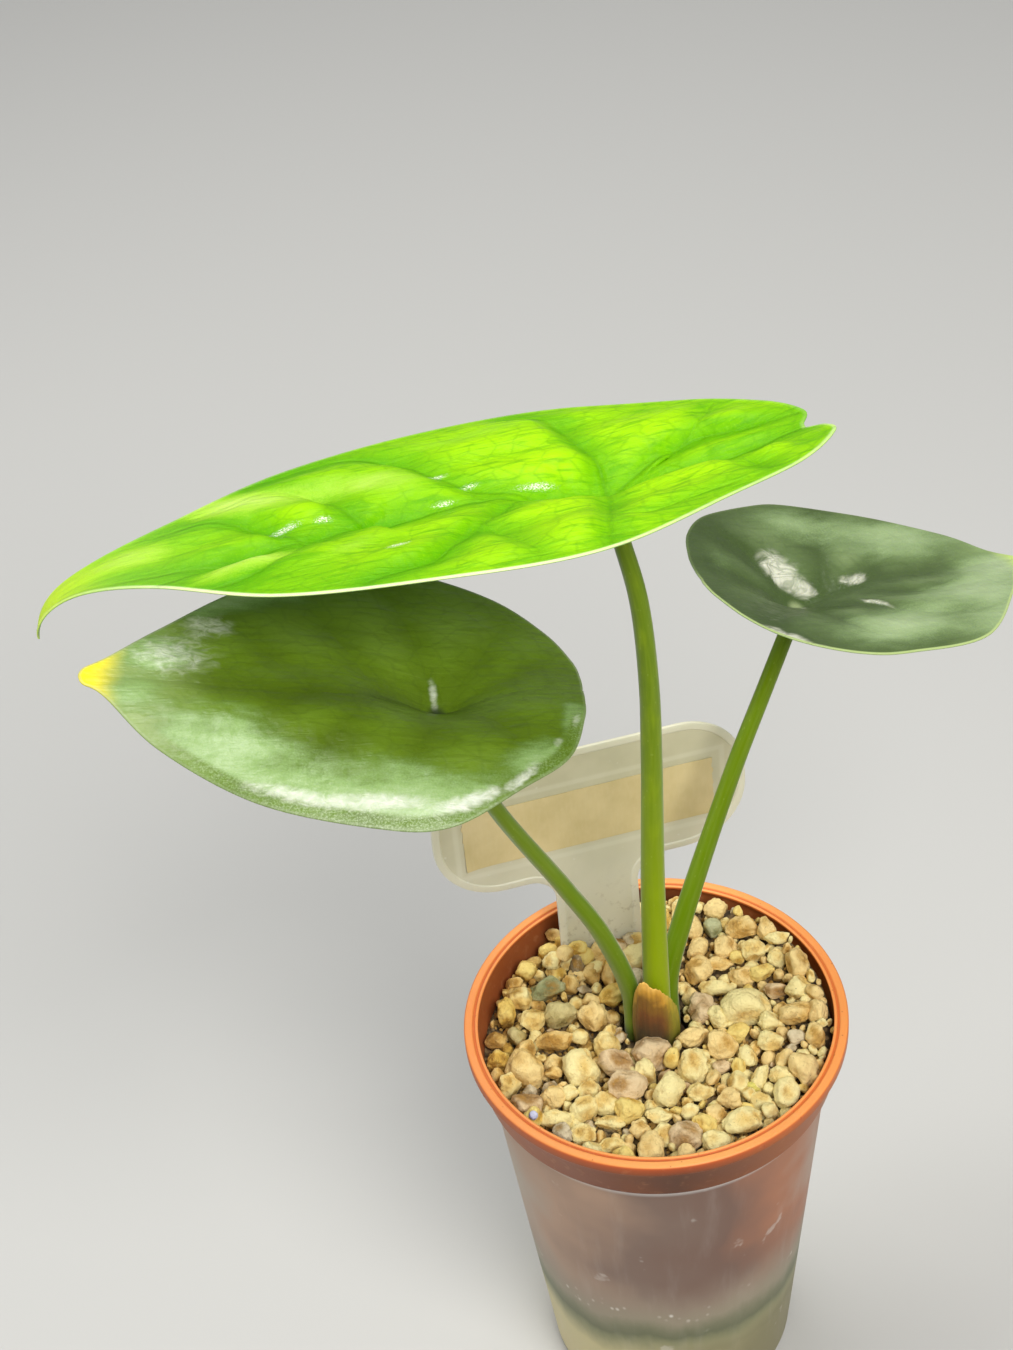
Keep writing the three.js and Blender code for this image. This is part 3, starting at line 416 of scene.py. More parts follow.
def lathe(profile, segments):
    """A turned body. The profile's ends lie on the axis."""
    angles = np.arange(segments) * FULL_TURN / segments
    points = []
    ids = np.zeros((len(profile), segments + 1), dtype=int)
    for i, (r, z) in enumerate(profile):
        if r < 1e-6:
            ids[i, :] = len(points)
            points.append((0.0, 0.0, z))
            continue
        ids[i, :segments] = len(points) + np.arange(segments)
        ids[i, segments] = ids[i, 0]
        points += [(r * math.cos(a), r * math.sin(a), z) for a in angles]
    return np.array(points), faces_of_ids(ids)


def rounded(profile, radius, steps=4):
    """The same profile with each inner corner replaced by a short curve."""
    profile = [np.array(p, dtype=float) for p in profile]
    out = [profile[0]]
    for a, b, c in zip(profile, profile[1:], profile[2:]):
        back, on = np.linalg.norm(a - b), np.linalg.norm(c - b)
        reach = min(radius, 0.45 * back, 0.45 * on)
        start = b + (a - b) / back * reach
        end = b + (c - b) / on * reach
        for t in np.linspace(0, 1, steps + 1):
            out.append((1 - t) ** 2 * start + 2 * t * (1 - t) * b + t * t * end)
    return [*out, profile[-1]]


def as_mesh(shape):
    mesh = bpy.data.meshes.new("cutter")
    shape.to_mesh(mesh)
    shape.free()
    return mesh


def cut(piece, cutters):
    """Cuts meshes out of a piece."""
    for cutter in cutters:
        tool = bpy.data.objects.new("cutter", cutter)
        scene.collection.objects.link(tool)
        modifier = piece.modifiers.new("cut", "BOOLEAN")
        modifier.operation = "DIFFERENCE"
        modifier.solver = "EXACT"
        modifier.object = tool
        shown = piece.evaluated_get(bpy.context.evaluated_depsgraph_get())
        shaped = bpy.data.meshes.new_from_object(shown)
        piece.modifiers.clear()
        piece.data = shaped
        bpy.data.objects.remove(tool)


# Materials


class Field:
    """A shader node's output, which can be added to, multiplied and spread like a number."""

    def __init__(self, shader, socket):
        self.shader = shader
        self.socket = socket

    def __add__(self, other):
        return self.shader.math("ADD", self, other)

    def __sub__(self, other):
        return self.shader.math("SUBTRACT", self, other)

    def __rsub__(self, other):
        return self.shader.math("SUBTRACT", other, self)

    def __mul__(self, other):
        return self.shader.math("MULTIPLY", self, other)

    def __abs__(self):
        return self.shader.math("ABSOLUTE", self)

    def at_least(self, other):
        return self.shader.math("MAXIMUM", self, other)

    def spread(self, low, high, to_low=0.0, to_high=1.0, smooth=True):
        """Maps low..high to to_low..to_high, held at the ends."""
        inputs = {0: self, 1: low, 2: high, 3: to_low, 4: to_high}
        kind = "SMOOTHSTEP" if smooth else "LINEAR"
        return self.shader.node("MapRange", inputs, interpolation_type=kind)


class Shader:
    """One material. Calls add its nodes and return fields, paint() lays colours over each
    other, and bump() adds relief to the relief so far."""

    def __init__(self, name, colour=None):
        self.material = bpy.data.materials.new(name)
        self.material.use_nodes = True
        self.tree = self.material.node_tree
        self.colour = colour
        self.normal = None
        self.here = self.node("TexCoord", {}, "Object")

    def feed(self, socket, value):
        if isinstance(value, Field):
            self.tree.links.new(value.socket, socket)
        elif socket.type == "RGBA":
            socket.default_value = (*value, 1.0)
        else:
            socket.default_value = value

    def node(self, kind, inputs, output=0, **settings):
        """Adds a node, feeds its inputs and returns one of its outputs."""
        made = self.tree.nodes.new("ShaderNode" + kind)
        for key, value in settings.items():
            setattr(made, key, value)
        for key, value in inputs.items():
            self.feed(made.inputs[key], value)
        return Field(self, made.outputs[output])

    def value(self, name):
        return self.node("Attribute", {}, "Fac", attribute_name=name)

    def vector(self, name):
        return self.node("Attribute", {}, "Vector", attribute_name=name)

    def part(self, vector, axis):
        return self.node("SeparateXYZ", {0: vector}, axis)

    def math(self, operation, a, b=0.0):
        return self.node("Math", {0: a, 1: b}, operation=operation)

    def squeezed(self, at, squeeze):
        at = at or self.here
        if squeeze is None:
            return at
        return self.node("VectorMath", {0: at, 1: squeeze}, operation="MULTIPLY")

    def noise(self, scale, detail=3.0, roughness=0.55, at=None, squeeze=None, distortion=0.0):
        return self.node("TexNoise", {
            "Scale": scale, "Detail": detail, "Roughness": roughness, "Distortion": distortion,
            "Vector": self.squeezed(at, squeeze),
        }, "Fac")

    def cells(self, scale, feature="F1", at=None, squeeze=None):
        inputs = {"Scale": scale, "Vector": self.squeezed(at, squeeze)}
        return self.node("TexVoronoi", inputs, "Distance", feature=feature)

    def mix(self, factor, a, b):
        return self.node("Mix", {"Factor": factor, 6: a, 7: b}, 2, data_type="RGBA")

    def ramp(self, value, *stops):
        made = self.tree.nodes.new("ShaderNodeValToRGB")
        band = made.color_ramp
        while len(band.elements) < len(stops):
            band.elements.new(0.5)
        for element, (place, colour) in zip(band.elements, stops):
            element.position = place
            element.color = (*colour, 1.0)
        self.feed(made.inputs[0], value)
        return Field(self, made.outputs["Color"])

    def paint(self, colour, amount, *span):
        """Lays a colour over the material's by an amount, which span spreads first."""
        self.colour = self.mix(amount.spread(*span) if span else amount, self.colour, colour)

    def bump(self, height, distance_mm, strength):
        inputs = {"Strength": strength, "Distance": distance_mm * MM, "Height": height}
        if self.normal:
            inputs["Normal"] = self.normal
        self.normal = self.node("Bump", inputs, "Normal")

    def finish(self, roughness, **inputs):
        """Feeds the Principled shader's sockets, whose names have spaces for underscores."""
        inputs |= {"Base_Color": self.colour, "Roughness": roughness}
        if self.normal:
            inputs["Normal"] = self.normal
        base = self.tree.nodes["Principled BSDF"]
        for key, value in inputs.items():
            self.feed(base.inputs[key.replace("_", " ")], value)
        return self.material


# Leaf blades


def outline_point(half, place):
    """Points of a half outline by their running numbers, on a smooth curve through its points."""
    knots = np.array(half, dtype=float)
    knots = np.vstack([2 * knots[0] - knots[1], knots, 2 * knots[-1] - knots[-2]])
    index = np.minimum(len(half) - 2, np.floor(place)).astype(int)
    t = (place - index)[..., None]
    a, b, c, d = (knots[index + n] for n in range(4))
    bend = (2 * a - 5 * b + 4 * c - d) * t ** 2 + (3 * b - a - 3 * c + d) * t ** 3
    return 0.5 * (2 * b + (c - a) * t + bend)


def flat_blade(leaf, row, across):
    """Flat coordinates in millimetres of spots given by grid row and by share of the width."""
    table = np.array(GRID_ROWS)
    index = np.minimum(LAST_ROW - 1, np.floor(row)).astype(int)
    midrib, margin = (lerp(table[index, n], table[index + 1, n], row - index) for n in (0, 1))
    left = (across >= 0)[..., None]
    edge = np.where(left, outline_point(leaf["left"], margin), outline_point(leaf["right"], margin))
    notch = leaf["left"][-1][0] / GRID_ROWS[-1][0]
    rib = np.where(midrib < 0, midrib * notch, midrib)
    t = np.abs(across)
    bow = ROW_BOW * t * (1 - t) * 4 * np.sin(math.pi * row / LAST_ROW)
    u = (rib + (edge[..., 0] - rib) * t + bow) * leaf["reach"]
    return u, edge[..., 1] * across * leaf["half_width"]


def bent_line(slope_at, length, steps):
    """Distance along and rise of lines whose slope changes over their length."""
    slopes = [slope_at((n + 0.5) / steps) for n in range(steps)]
    return sum(np.cos(slopes)) * length / steps, sum(np.sin(slopes)) * length / steps


def line_distance(path, u, v):
    """Distance in millimetres from each spot to a line of short straight parts, and its side."""
    nearest = np.full(u.shape, 1e6)
    side = np.zeros(u.shape)
    for start, end in zip(path, path[1:]):
        way = end - start
        du, dv = u - start[0], v - start[1]
        part = np.clip((du * way[0] + dv * way[1]) / max(way @ way, 1e-9), 0, 1)
        gap = (du - part * way[0]) ** 2 + (dv - part * way[1]) ** 2
        side = np.where(gap < nearest, way[1] * du - way[0] * dv, side)
        nearest = np.minimum(nearest, gap)
    return np.sqrt(nearest), np.sign(side)


def vein_fields(name, u, v):
    """Distances to the nearest vein (sharp, and rounded off) and to the midrib, the veins' soft
    shade, and the swollen lip that runs along the tip's side of each side vein."""
    leaf = LEAVES[name]
    size = (leaf["reach"], leaf["half_width"])
    nearest = np.full(u.shape, 1e6)
    closeness, shade, lip = np.zeros((3, *u.shape))
    for number, (strength, line) in enumerate(VEIN_LINES[name]):
        gap, side = line_distance(smooth_curve(np.array(line) * size, 56), u, v)
        if number == 0:
            midrib = gap
        else:
            past = gap * side * np.sign(line[-1][1]) - LIP_OF_VEIN["away"]
            width = np.where(past < 0, LIP_OF_VEIN["steep"], LIP_OF_VEIN["gentle"])
            lip = np.maximum(lip, strength * np.exp(-(past / width) ** 2))
        nearest = np.minimum(nearest, gap + VEIN_THINNING * (1 - strength))
        closeness += np.exp(-gap / VEIN_BLEND) * strength
        shade = np.maximum(shade, strength * np.exp(-(gap / leaf["shade"]) ** 2))
    soft = np.maximum(0, -VEIN_BLEND * np.log(closeness + 1e-12))
    return {"vein": nearest, "soft": soft, "midrib": midrib, "shade": shade, "lip": lip}


def patch_field(patches, leaf, u, v):
    """Strength of soft oval patches."""
    total = np.zeros(u.shape)
    for x, y, length, width, angle, strength in patches:
        c, s = math.cos(math.radians(angle)), math.sin(math.radians(angle))
        du = u - x * leaf["reach"]
        dv = v - y * leaf["half_width"]
        soft = np.clip(1 - np.hypot((c * du + s * dv) / length, (c * dv - s * du) / width), 0, 1)
        total = 1 - (1 - total) * (1 - strength * soft * soft * (3 - 2 * soft))
    return total


def blade_relief(leaf, veins, glint, margin, u, v):
    """Cushions between the veins, the groove along the midrib and a little unevenness."""
    inner = 1 - np.exp(-(margin / RELIEF["margin"]) ** 2)
    far = 1 - np.exp(-(u * u + v * v) / RELIEF["navel"])
    cushion = (1 - np.exp(-(veins["soft"] / leaf["puff"]) ** RELIEF["power"])) * inner
    cushion = RELIEF["cushion"] * cushion + RELIEF["lip"] * veins["lip"] * inner * far
    groove = np.exp(-(veins["midrib"] ** 2) / (2 * MIDRIB_GROOVE["spread"] ** 2)) * inner
    groove = groove * lerp(1, leaf["groove"], far)
    swell = ripple(0.35 * u, v, 13, 5)
    uneven = leaf["quilting"] * RELIEF["swell"] * swell + RELIEF["ripple"] * ripple(u, v, 5, 8)
    dent = leaf["wrinkle"] * glint * ripple(u, 1.8 * v, 5.5, 17, 9)
    height = leaf["quilting"] * cushion - MIDRIB_GROOVE["depth"] * groove
    height = height + inner * (uneven + dent) * np.minimum(1, np.hypot(u, v) / 6)
    return height, cushion + 0.3 * swell * inner


def blade_surface(name, row, across):
    """Middle surface of a blade in space, with its flat coordinates and its fields."""
    leaf = LEAVES[name]
    u, v = flat_blade(leaf, row, across)
    reach = leaf["reach"]
    tail = -leaf["left"][-1][0] * reach * 1.15
    bends = [leaf[key] for key in ("arch", "hook", "tail", "twist")]
    arch, hook, tail_bend, twist = np.radians(bends)

    def slope_at(w):
        front = arch * w / reach + hook * (np.maximum(w, 0) / reach) ** leaf["hook_power"]
        return np.where(w >= 0, front, tail_bend * w / tail)

    along, rise = bent_line(lambda n: slope_at(u * n), u, 96)
    cambers = np.radians([leaf["camber_left"], leaf["camber_right"]])
    first, gained = (np.where(across >= 0, cambers[0, n], cambers[1, n]) for n in (0, 1))
    t = np.abs(v) / leaf["half_width"]
    out, lift = bent_line(lambda n: first + gained * t * n, np.abs(v), 24)
    depth, spread = leaf["funnel"]
    away = u * u + v * v
    dip = depth * (1 - np.exp(-away / (2 * spread ** 2)))
    flat = np.stack([u, v], -1)
    margin = line_distance(np.concatenate([flat[:, 0], flat[::-1, -1]]), u, v)[0]
    veins = vein_fields(name, u, v)
    glint = patch_field(leaf["glints"], leaf, u, v)
    relief, puff = blade_relief(leaf, veins, glint, margin, u, v)
    soft_fold = leaf["fold"] * np.sin(cambers[:, 0]).mean() * np.exp(-np.abs(v) / leaf["fold"])
    height = lift + dip + relief + soft_fold * (1 - np.exp(-away / 60))
    side = out * np.sign(v)
    twist = twist * u / reach
    turned_side = side * np.cos(twist) - height * np.sin(twist)
    turned_height = side * np.sin(twist) + height * np.cos(twist)
    slope = slope_at(u)
    place = np.stack([
        along - np.sin(slope) * turned_height,
        turned_side + leaf["sweep"] * (u / reach) ** 2 * np.sign(u),
        rise + np.cos(slope) * turned_height,
    ], -1)
    values = {
        "vein": veins["vein"], "shade": veins["shade"], "margin": margin, "puff": puff,
        "bloom_and_painted_light": patch_field(leaf["bloom_and_painted_light"], leaf, u, v), "glint": glint,
    }
    return place @ leaf_axes(leaf).T + np.array(leaf["navel"]), u, v, values


def leaf_axes(leaf):
    return turned(*np.radians([leaf["roll"], -leaf["pitch"], leaf["heading"]]))


def blade_piece(name, material, per_row=24, columns=44, rim_points=3):
    """A blade as a thin closed shell with a rounded margin."""
    rows = per_row * LAST_ROW + 1
    steps = np.arange(-columns, columns + 1) / columns
    steps = np.sign(steps) * np.abs(steps) ** BLADE_RIM["crowding"]
    row, across = np.meshgrid(np.linspace(0, LAST_ROW, rows), steps, indexing="ij")
    middle, u, v, values = blade_surface(name, row, across)
    normal = unit(np.cross(np.gradient(middle, axis=1), np.gradient(middle, axis=0)))
    normal[0] = normal[1, columns]
    normal[-1] = normal[-2, columns]
    share = BLADE_RIM["share"]
    thin = np.clip(share + values["margin"] / BLADE_RIM["reach"], share, 1)
    half = BLADE_THICKNESS / 2 * thin[..., None]
    top = middle + normal * half
    bottom = middle - normal * half

    def rim(column, way):
        """Points that round the margin, from the top's edge to the bottom's."""
        out = unit(np.gradient(middle, axis=1)[:, column]) * way
        points = []
        for n in range(1, rim_points + 1):
            angle = math.pi * (0.5 - n / (rim_points + 1))
            lift = normal[:, column] * math.sin(angle) + out * math.cos(angle)
            points.append(middle[:, column] + lift * half[:, column])
        return np.stack(points, 1)

    loop = np.concatenate([top, rim(-1, 1), bottom[:, ::-1], rim(0, -1)[:, ::-1]], axis=1)
    wide = 2 * columns + 1
    source = [*range(wide), *[wide - 1] * rim_points, *range(wide)[::-1], *[0] * rim_points]
    edge = np.linspace(0, 1, rim_points + 2)[1:-1]
    under = np.concatenate([np.zeros(wide), edge, np.ones(wide), edge[::-1]])
    ids = ring_ids(rows, loop.shape[1])
    for end in (0, rows - 1):
        ids[end, :wide] = ids[end, columns]
        ids[end, wide:] = ids[end, 3 * columns + 1 + rim_points]
        ids[end, -1] = ids[end, 0]
    values = {key: field[:, source].ravel() for key, field in values.items()}
    values["under"] = np.tile(under, rows)
    values["flat"] = np.stack([u, v, 0 * u], -1)[:, source].reshape(-1, 3)
    shape = loop.reshape(-1, 3), faces_of_ids(ids)
    add_piece("leaf_" + name, shape, material, "blade_" + name, values)


def blade_material(name, look):
    """Waxy leaf: painted shade in the veins and hollows, cushions painted lighter, silvery bloom
    with painted sheen and light, painted highlights, a thin pale margin and a pale back.
    """
    s = Shader(name)
    flat = s.vector("flat")
    along, side = s.part(flat, 0), s.part(flat, 1)
    margin, vein, bloom_and_painted_light, glint = (s.value(key) for key in ("margin", "vein", "bloom_and_painted_light", "glint"))

    # Broad tone with painted light and shade: cushions painted lighter, hollows and veins darker
    patches = s.noise(0.10, 3, 0.6, at=flat, squeeze=(0.6, 1, 1))
    level = s.value("puff") * look["puff_shading"] + (patches - 0.5) * 0.9
    level = level - s.value("shade") * look["shade"]
    # Painted light and shade along the reach, and painted light on the right half
    level = level + along.spread(*look["lit_span"], look["lit_base"], look["lit_tip"])
    level = level + side.spread(-18, -2, look["right_light"], 0)
    level = level.spread(-0.55, 0.95, smooth=False)
    s.colour = s.ramp(level, (0, look["deep"]), (0.5, look["middle"]), (1, look["light"]))

    # Fine lines that run between the veins towards the tip
    fine = s.noise(0.9, 4, at=flat, squeeze=(0.16, 1, 1), distortion=0.4)
    grain = s.noise(3.2, 3, 0.7, at=flat)
    web = s.cells(0.32, "DISTANCE_TO_EDGE", at=flat, squeeze=(0.75, 1, 1))
    s.paint(look["deep"], fine, 0.5, 0.66, 0, look["fine"])
    s.paint(look["light"], grain, 0.52, 0.72, 0, look["fine"] * 0.5)
    s.paint(look["vein"], web, 0, 0.09, look["fine"] * 0.5, 0)

    # Thin dark line in each vein, and one just inside the margin
    s.paint(look["vein"], vein, 0.08, 0.55, look["line"], 0)
    s.paint(look["vein"], abs(margin - 1.5), 0.05, 0.45, look["line"] * 0.45, 0)

    # Pale tip, and silvery bloom with painted sheen and light, which a darker rolled rim may end
    s.paint(look["tip"], along, *look["tip_span"], 0, look["tip_strength"])
    streaks = s.noise(0.30, 4, 0.6, at=flat, squeeze=(0.4, 1, 1), distortion=0.3)
    speckled = bloom_and_painted_light + (grain - 0.5) * 0.35 + (streaks - 0.5) * look["streaky"]
    silver_and_sheen = s.ramp(speckled, *zip((0.1, 0.5, 0.95), look["bloom_and_painted_light"]))
    rolled = margin.spread(look["rolled"] * 0.6, look["rolled"], 1, 0) * side.spread(4, 12)
    rolled = rolled * grain.spread(0.62, 0.45, 0.45, 0.9)
    s.paint(silver_and_sheen, bloom_and_painted_light.spread(0, 0.2) * speckled.spread(0, 0.5) * (1 - rolled))

    # Painted highlights: pale glint spots, broken up by wrinkles
    wrinkle = s.noise(
        look["wrinkle_scale"], 3, at=flat, squeeze=(0.8, 1.2, 1), distortion=0.8
    )
    painted_glint = glint + (wrinkle - 0.5) * look["broken"]
    painted_glint = painted_glint.spread(0.15, 0.95, 0, look["painted_glint"]) * glint.spread(0.02, 0.4)
    crease = abs(s.noise(0.3, 2, at=flat, squeeze=(0.8, 1.3, 1), distortion=1.0) - 0.5)
    s.paint(look["silver_and_sheen"], painted_glint * crease.spread(0, 0.06, look["crease"], 1))

    # Yellow point, pit over the stalk and pale rim
    s.paint(look["yellow"], along + (patches - 0.5) * 5.0, *look["yellow_span"])
    # Painted shade in the pit over the stalk; on the green leaf a pale spot there instead
    away = s.math("SQRT", along * along + side * side)
    s.paint(look["pit"], away, 0.4, 2, look["pit_strength"], 0)
    # Pale margin with a painted highlight: stronger on one side, scaled at the tail and the tip
    rim = margin.spread(0.1, look["rim_width"], 1, 0)
    rim = rim * side.spread(-4, 4, look["rim_right"], look["rim_left"])
    rim = rim * along.spread(-20, 20, look["rim_tail"], 1)
    s.paint(look["rim"], rim * along.spread(55, 85, 1, look["rim_tip"]))

    back = s.mix(vein.spread(0.2, 0.9, 1, 0), look["back"], look["back_vein"])
    s.paint(back, s.value("under"), 0.35, 0.8)

    s.bump(s.cells(0.9, "SMOOTH_F1", at=flat), 0.5, look["pucker"])
    s.bump(s.noise(2.4, at=flat), 0.1, look["pucker"])
    s.bump(vein.spread(0, 0.9, -1, 0), 0.3, look["line"])
    s.bump(fine, 0.5, look["fine"])
    s.bump(wrinkle * glint, 0.8, look["folds"] * 1.2)
    s.bump(crease.spread(0, 0.1) * glint, 0.5, look["folds"])
    dull, gloss = look["roughness"] + 0.07, look["roughness"] - 0.05
    return s.finish(
        s.noise(0.4, at=flat).spread(0.3, 0.7, gloss, dull), IOR=1.45,
        Specular_IOR_Level=look["specular"], Subsurface_Weight=look["glow"],
        Subsurface_Scale=0.0012, Subsurface_Radius=(0.6, 1.0, 0.05),
    )


YOUNG_LOOK = {
    "deep": (0.085, 0.34, 0.0), "middle": (0.19, 0.49, 0.0), "light": (0.38, 0.71, 0.0),
    "vein": (0.09, 0.30, 0.0), "tip": (0.38, 0.66, 0.08), "rim": (0.80, 0.90, 0.46),
    "back": (0.25, 0.42, 0.12), "back_vein": (0.42, 0.55, 0.25),
    "bloom_and_painted_light": ((0.20, 0.50, 0.0), (0.34, 0.60, 0.04), (0.53, 0.72, 0.16)),
    "silver_and_sheen": (1.0, 1.0, 0.85), "yellow": (0.58, 0.74, 0.04), "yellow_span": (72.0, 94.0),
    "tip_span": (50.0, 100.0), "tip_strength": 0.6, "puff_shading": 0.44, "shade": 0.7,
    "fine": 0.55, "line": 0.55, "painted_glint": 1.0, "right_light": 0.0,
    "lit_base": 0.45, "lit_tip": 0.0, "lit_span": (8.0, 60.0),
    "rim_width": 0.72, "rim_right": 0.2, "rim_left": 1.0, "rim_tail": 0.45, "rim_tip": 0.25,
    "pit": (0.09, 0.30, 0.0), "pit_strength": 0.3, "rolled": 0.01, "streaky": 0.5,
    "wrinkle_scale": 4.2, "broken": 3.4, "crease": 1.0, "folds": 0.4,
    "roughness": 0.44, "specular": 0.09, "glow": 0.10, "pucker": 0.26,
}
DARK_LOOK = {
    "deep": (0.075, 0.125, 0.004), "middle": (0.125, 0.21, 0.010), "light": (0.19, 0.30, 0.035),
    "vein": (0.035, 0.065, 0.006), "tip": (0.30, 0.40, 0.13), "rim": (0.30, 0.36, 0.20),
    "back": (0.20, 0.30, 0.14), "back_vein": (0.32, 0.40, 0.20),
    "bloom_and_painted_light": ((0.10, 0.18, 0.03), (0.24, 0.37, 0.12), (0.50, 0.62, 0.37)),
    "silver_and_sheen": (0.70, 0.72, 0.62), "yellow": (0.88, 0.72, 0.01), "yellow_span": (46.5, 52.5),
    "tip_span": (32.0, 48.0), "tip_strength": 0.7, "puff_shading": 0.45, "shade": 0.5,
    "fine": 0.3, "line": 0.12, "painted_glint": 0.9, "right_light": 0.55,
    "lit_base": 0.0, "lit_tip": 0.0, "lit_span": (8.0, 60.0),
    "rim_width": 0.4, "rim_right": 0.6, "rim_left": 0.3, "rim_tail": 1.0, "rim_tip": 1.0,
    "pit": (0.02, 0.03, 0.012), "pit_strength": 0.85, "rolled": 2.6, "streaky": 0.8,
    "wrinkle_scale": 0.6, "broken": 0.9, "crease": 0.8, "folds": 0.22,
    "roughness": 0.36, "specular": 0.45, "glow": 0.04, "pucker": 0.2,
}
GREEN_LOOK = {
    **DARK_LOOK,
    "deep": (0.050, 0.082, 0.020), "middle": (0.10, 0.15, 0.05), "light": (0.20, 0.27, 0.115),
    "vein": (0.045, 0.08, 0.02), "tip": (0.36, 0.50, 0.20), "rim": (0.40, 0.50, 0.20),
    "bloom_and_painted_light": ((0.12, 0.19, 0.06), (0.24, 0.33, 0.15), (0.40, 0.50, 0.28)),
    "silver_and_sheen": (0.66, 0.66, 0.54), "yellow": (0.50, 0.64, 0.16), "yellow_span": (42.0, 47.0),
    "puff_shading": 0.7, "shade": 0.8, "right_light": 0.0,
    "lit_base": -0.30, "lit_tip": 0.40, "lit_span": (-16.0, 36.0),
    "rim_right": 1.0, "rim_left": 0.1,
    "pit": (0.50, 0.58, 0.30), "pit_strength": 0.4, "rolled": 0.01, "streaky": 0.5,
    "wrinkle_scale": 0.30, "broken": 1.4, "crease": 0.6, "folds": 0.4,
    "roughness": 0.34, "pucker": 0.22,
}


# Leaf stalks and sheath


# Height, number and start of the ridges, and the flare under the blade
STALK_RIDGES = [(0.012, 5, 0.3), (0.006, 11, 0.0)]
STALK_FLARE = {"gain": 0.35, "reach": 2.5}


def stalk_piece(name, material, sides=28, steps=150):
    """A stalk with faint ridges, flared under its blade, and a slanted end that meets the blade."""
    leaf = LEAVES[name]
    up = leaf_axes(leaf)[:, 2]
    seat = BLADE_THICKNESS / 2 + MIDRIB_GROOVE["depth"] * 0.9
    path = smooth_curve([*leaf["stalk"], np.array(leaf["navel"]) - up * seat], steps + 1)
    radii = np.interp(np.linspace(0, 2, steps + 1), (0, 1, 2), leaf["stalk_radii"])
    tangents = unit(np.gradient(path, axis=0))
    across = unit(np.cross(tangents[0], [0.0, 1.0, 0.0]))
    length = distances(path)
    angles = np.arange(sides) * FULL_TURN / sides
    ridges = 1 + sum(high * np.sin(n * angles + start) for high, n, start in STALK_RIDGES)
    rings = []
    for i in range(steps + 1):
        across = unit(across - tangents[i] * np.dot(across, tangents[i]))
        second = np.cross(tangents[i], across)
        near_top = max(0.0, 1 - (length[-1] - length[i]) / STALK_FLARE["reach"])
        radius = radii[i] * (1 + STALK_FLARE["gain"] * near_top ** 2)
        spin = np.cos(angles)[:, None] * across + np.sin(angles)[:, None] * second
        rings.append(path[i] + spin * (radius * ridges)[:, None])
    lift = (rings[-1] - path[-1]) @ up / (tangents[-1] @ up)
    rings[-1] = rings[-1] - lift[:, None] * tangents[-1]
    around = np.concatenate([np.tile(angles, len(rings)), [0, 0]])
    along = np.concatenate([np.repeat(length, sides), [0, length[-1]]])
    values = {
        "share": along / length[-1],
        "grain": np.stack([2 * np.cos(around), 2 * np.sin(around), along], -1),
    }
    shape = closed_tube(rings, path[0], path[-1])
    add_piece("stalk_" + name, shape, material, "petiole_" + name, values, mend=False)


def stalk_material(name, low, high, edge):
    """Smooth green stalk: paler foot, fine lengthwise lines and small pale flecks."""
    s = Shader(name, low)
    grain = s.vector("grain")
    share = s.value("share")
    streak = s.noise(1.6, 4, at=grain, squeeze=(1, 1, 0.06))
    cloud = s.noise(0.35, 2, at=grain, squeeze=(1, 1, 0.4))
    s.paint(high, share, 0.02, 0.75)
    s.paint(edge, streak, 0.38, 0.68, 0, 0.25)
    s.paint(low, cloud, 0.45, 0.75, 0, 0.3)
    s.paint((0.42, 0.55, 0.10), share, 0, 0.1, 0.35, 0)
    flecks = s.cells(0.9, at=grain, squeeze=(1, 1, 0.5))
    s.paint((0.40, 0.50, 0.10), flecks, 0.05, 0.16, 0.2, 0)
    s.bump(streak, 0.12, 0.35)
    return s.finish(
        cloud.spread(0.3, 0.7, 0.32, 0.46), IOR=1.42, Specular_IOR_Level=0.2,
        Sheen_Weight=0.35, Sheen_Roughness=0.35,
        Subsurface_Weight=0.15, Subsurface_Scale=0.0015, Subsurface_Radius=(0.5, 1.0, 0.1),
    )


SHEATH = {
    "x": 0.3, "y": 2.2, "foot": 79.0, "tear": 0.25, "half": 0.22, "radii": (3.9, 4.1, 4.05, 3.55),
}
# The sheath's upper edge: angles round the stalk, and heights above the foot
SHEATH_EDGE = [
    (184, 14.5), (196, 16.2), (208, 18.1), (229, 20.2), (241, 20.6), (255, 19.8), (268, 19.3),
    (281, 18.7), (294, 17.6), (310, 15.7), (333, 12.6), (376, 8.5),
]


def sheath_piece(material, rows=44, columns=130):
    """Dry scale that hugs the crown: bellied, drawn in at the top, with a torn edge."""
    first, last = SHEATH_EDGE[0][0], SHEATH_EDGE[-1][0]
    part, degrees = np.meshgrid(
        np.linspace(0, 1, rows + 1), np.linspace(first, last, columns + 1), indexing="ij",
    )
    angle = np.radians(degrees)
    knots = smooth_curve(SHEATH_EDGE, 80)
    torn = np.sin(8.3 * angle) + 0.4 * np.sin(31 * angle) + 0.25 * np.sin(67 * angle)
    full = np.interp(degrees, knots[:, 0], knots[:, 1]) + SHEATH["tear"] * torn
    belly = smooth_curve(list(enumerate(SHEATH["radii"])), 60)
    radius = np.interp(3 * part, belly[:, 0], belly[:, 1])
    wrinkle = 0.05 * np.sin(26 * angle + 3 * part) + 0.09 * np.sin(11 * angle - 5 * part)
    curl = 0.2 * part ** 8 * (1 + 0.8 * np.sin(7 * angle))
    radius = radius + wrinkle * np.sqrt(part) + curl
    grid = np.stack([
        SHEATH["x"] + radius * np.cos(angle), SHEATH["y"] + radius * np.sin(angle),
        SHEATH["foot"] + full * part,
    ], -1)
    normal = unit(np.cross(np.gradient(grid, axis=1), np.gradient(grid, axis=0)))
    half = SHEATH["half"] * (1 - 0.6 * part ** 6)[..., None]
    below_edge = full * (1 - part)
    side = (degrees - first) / (last - first)
    values = {
        "below_edge": there_and_back(below_edge, below_edge).ravel(),
        "side": there_and_back(side, side).ravel(),
    }
    shape = slab(grid + normal * half, grid - normal * half)
    add_piece("torn_sheath", shape, material, "sheath", values)


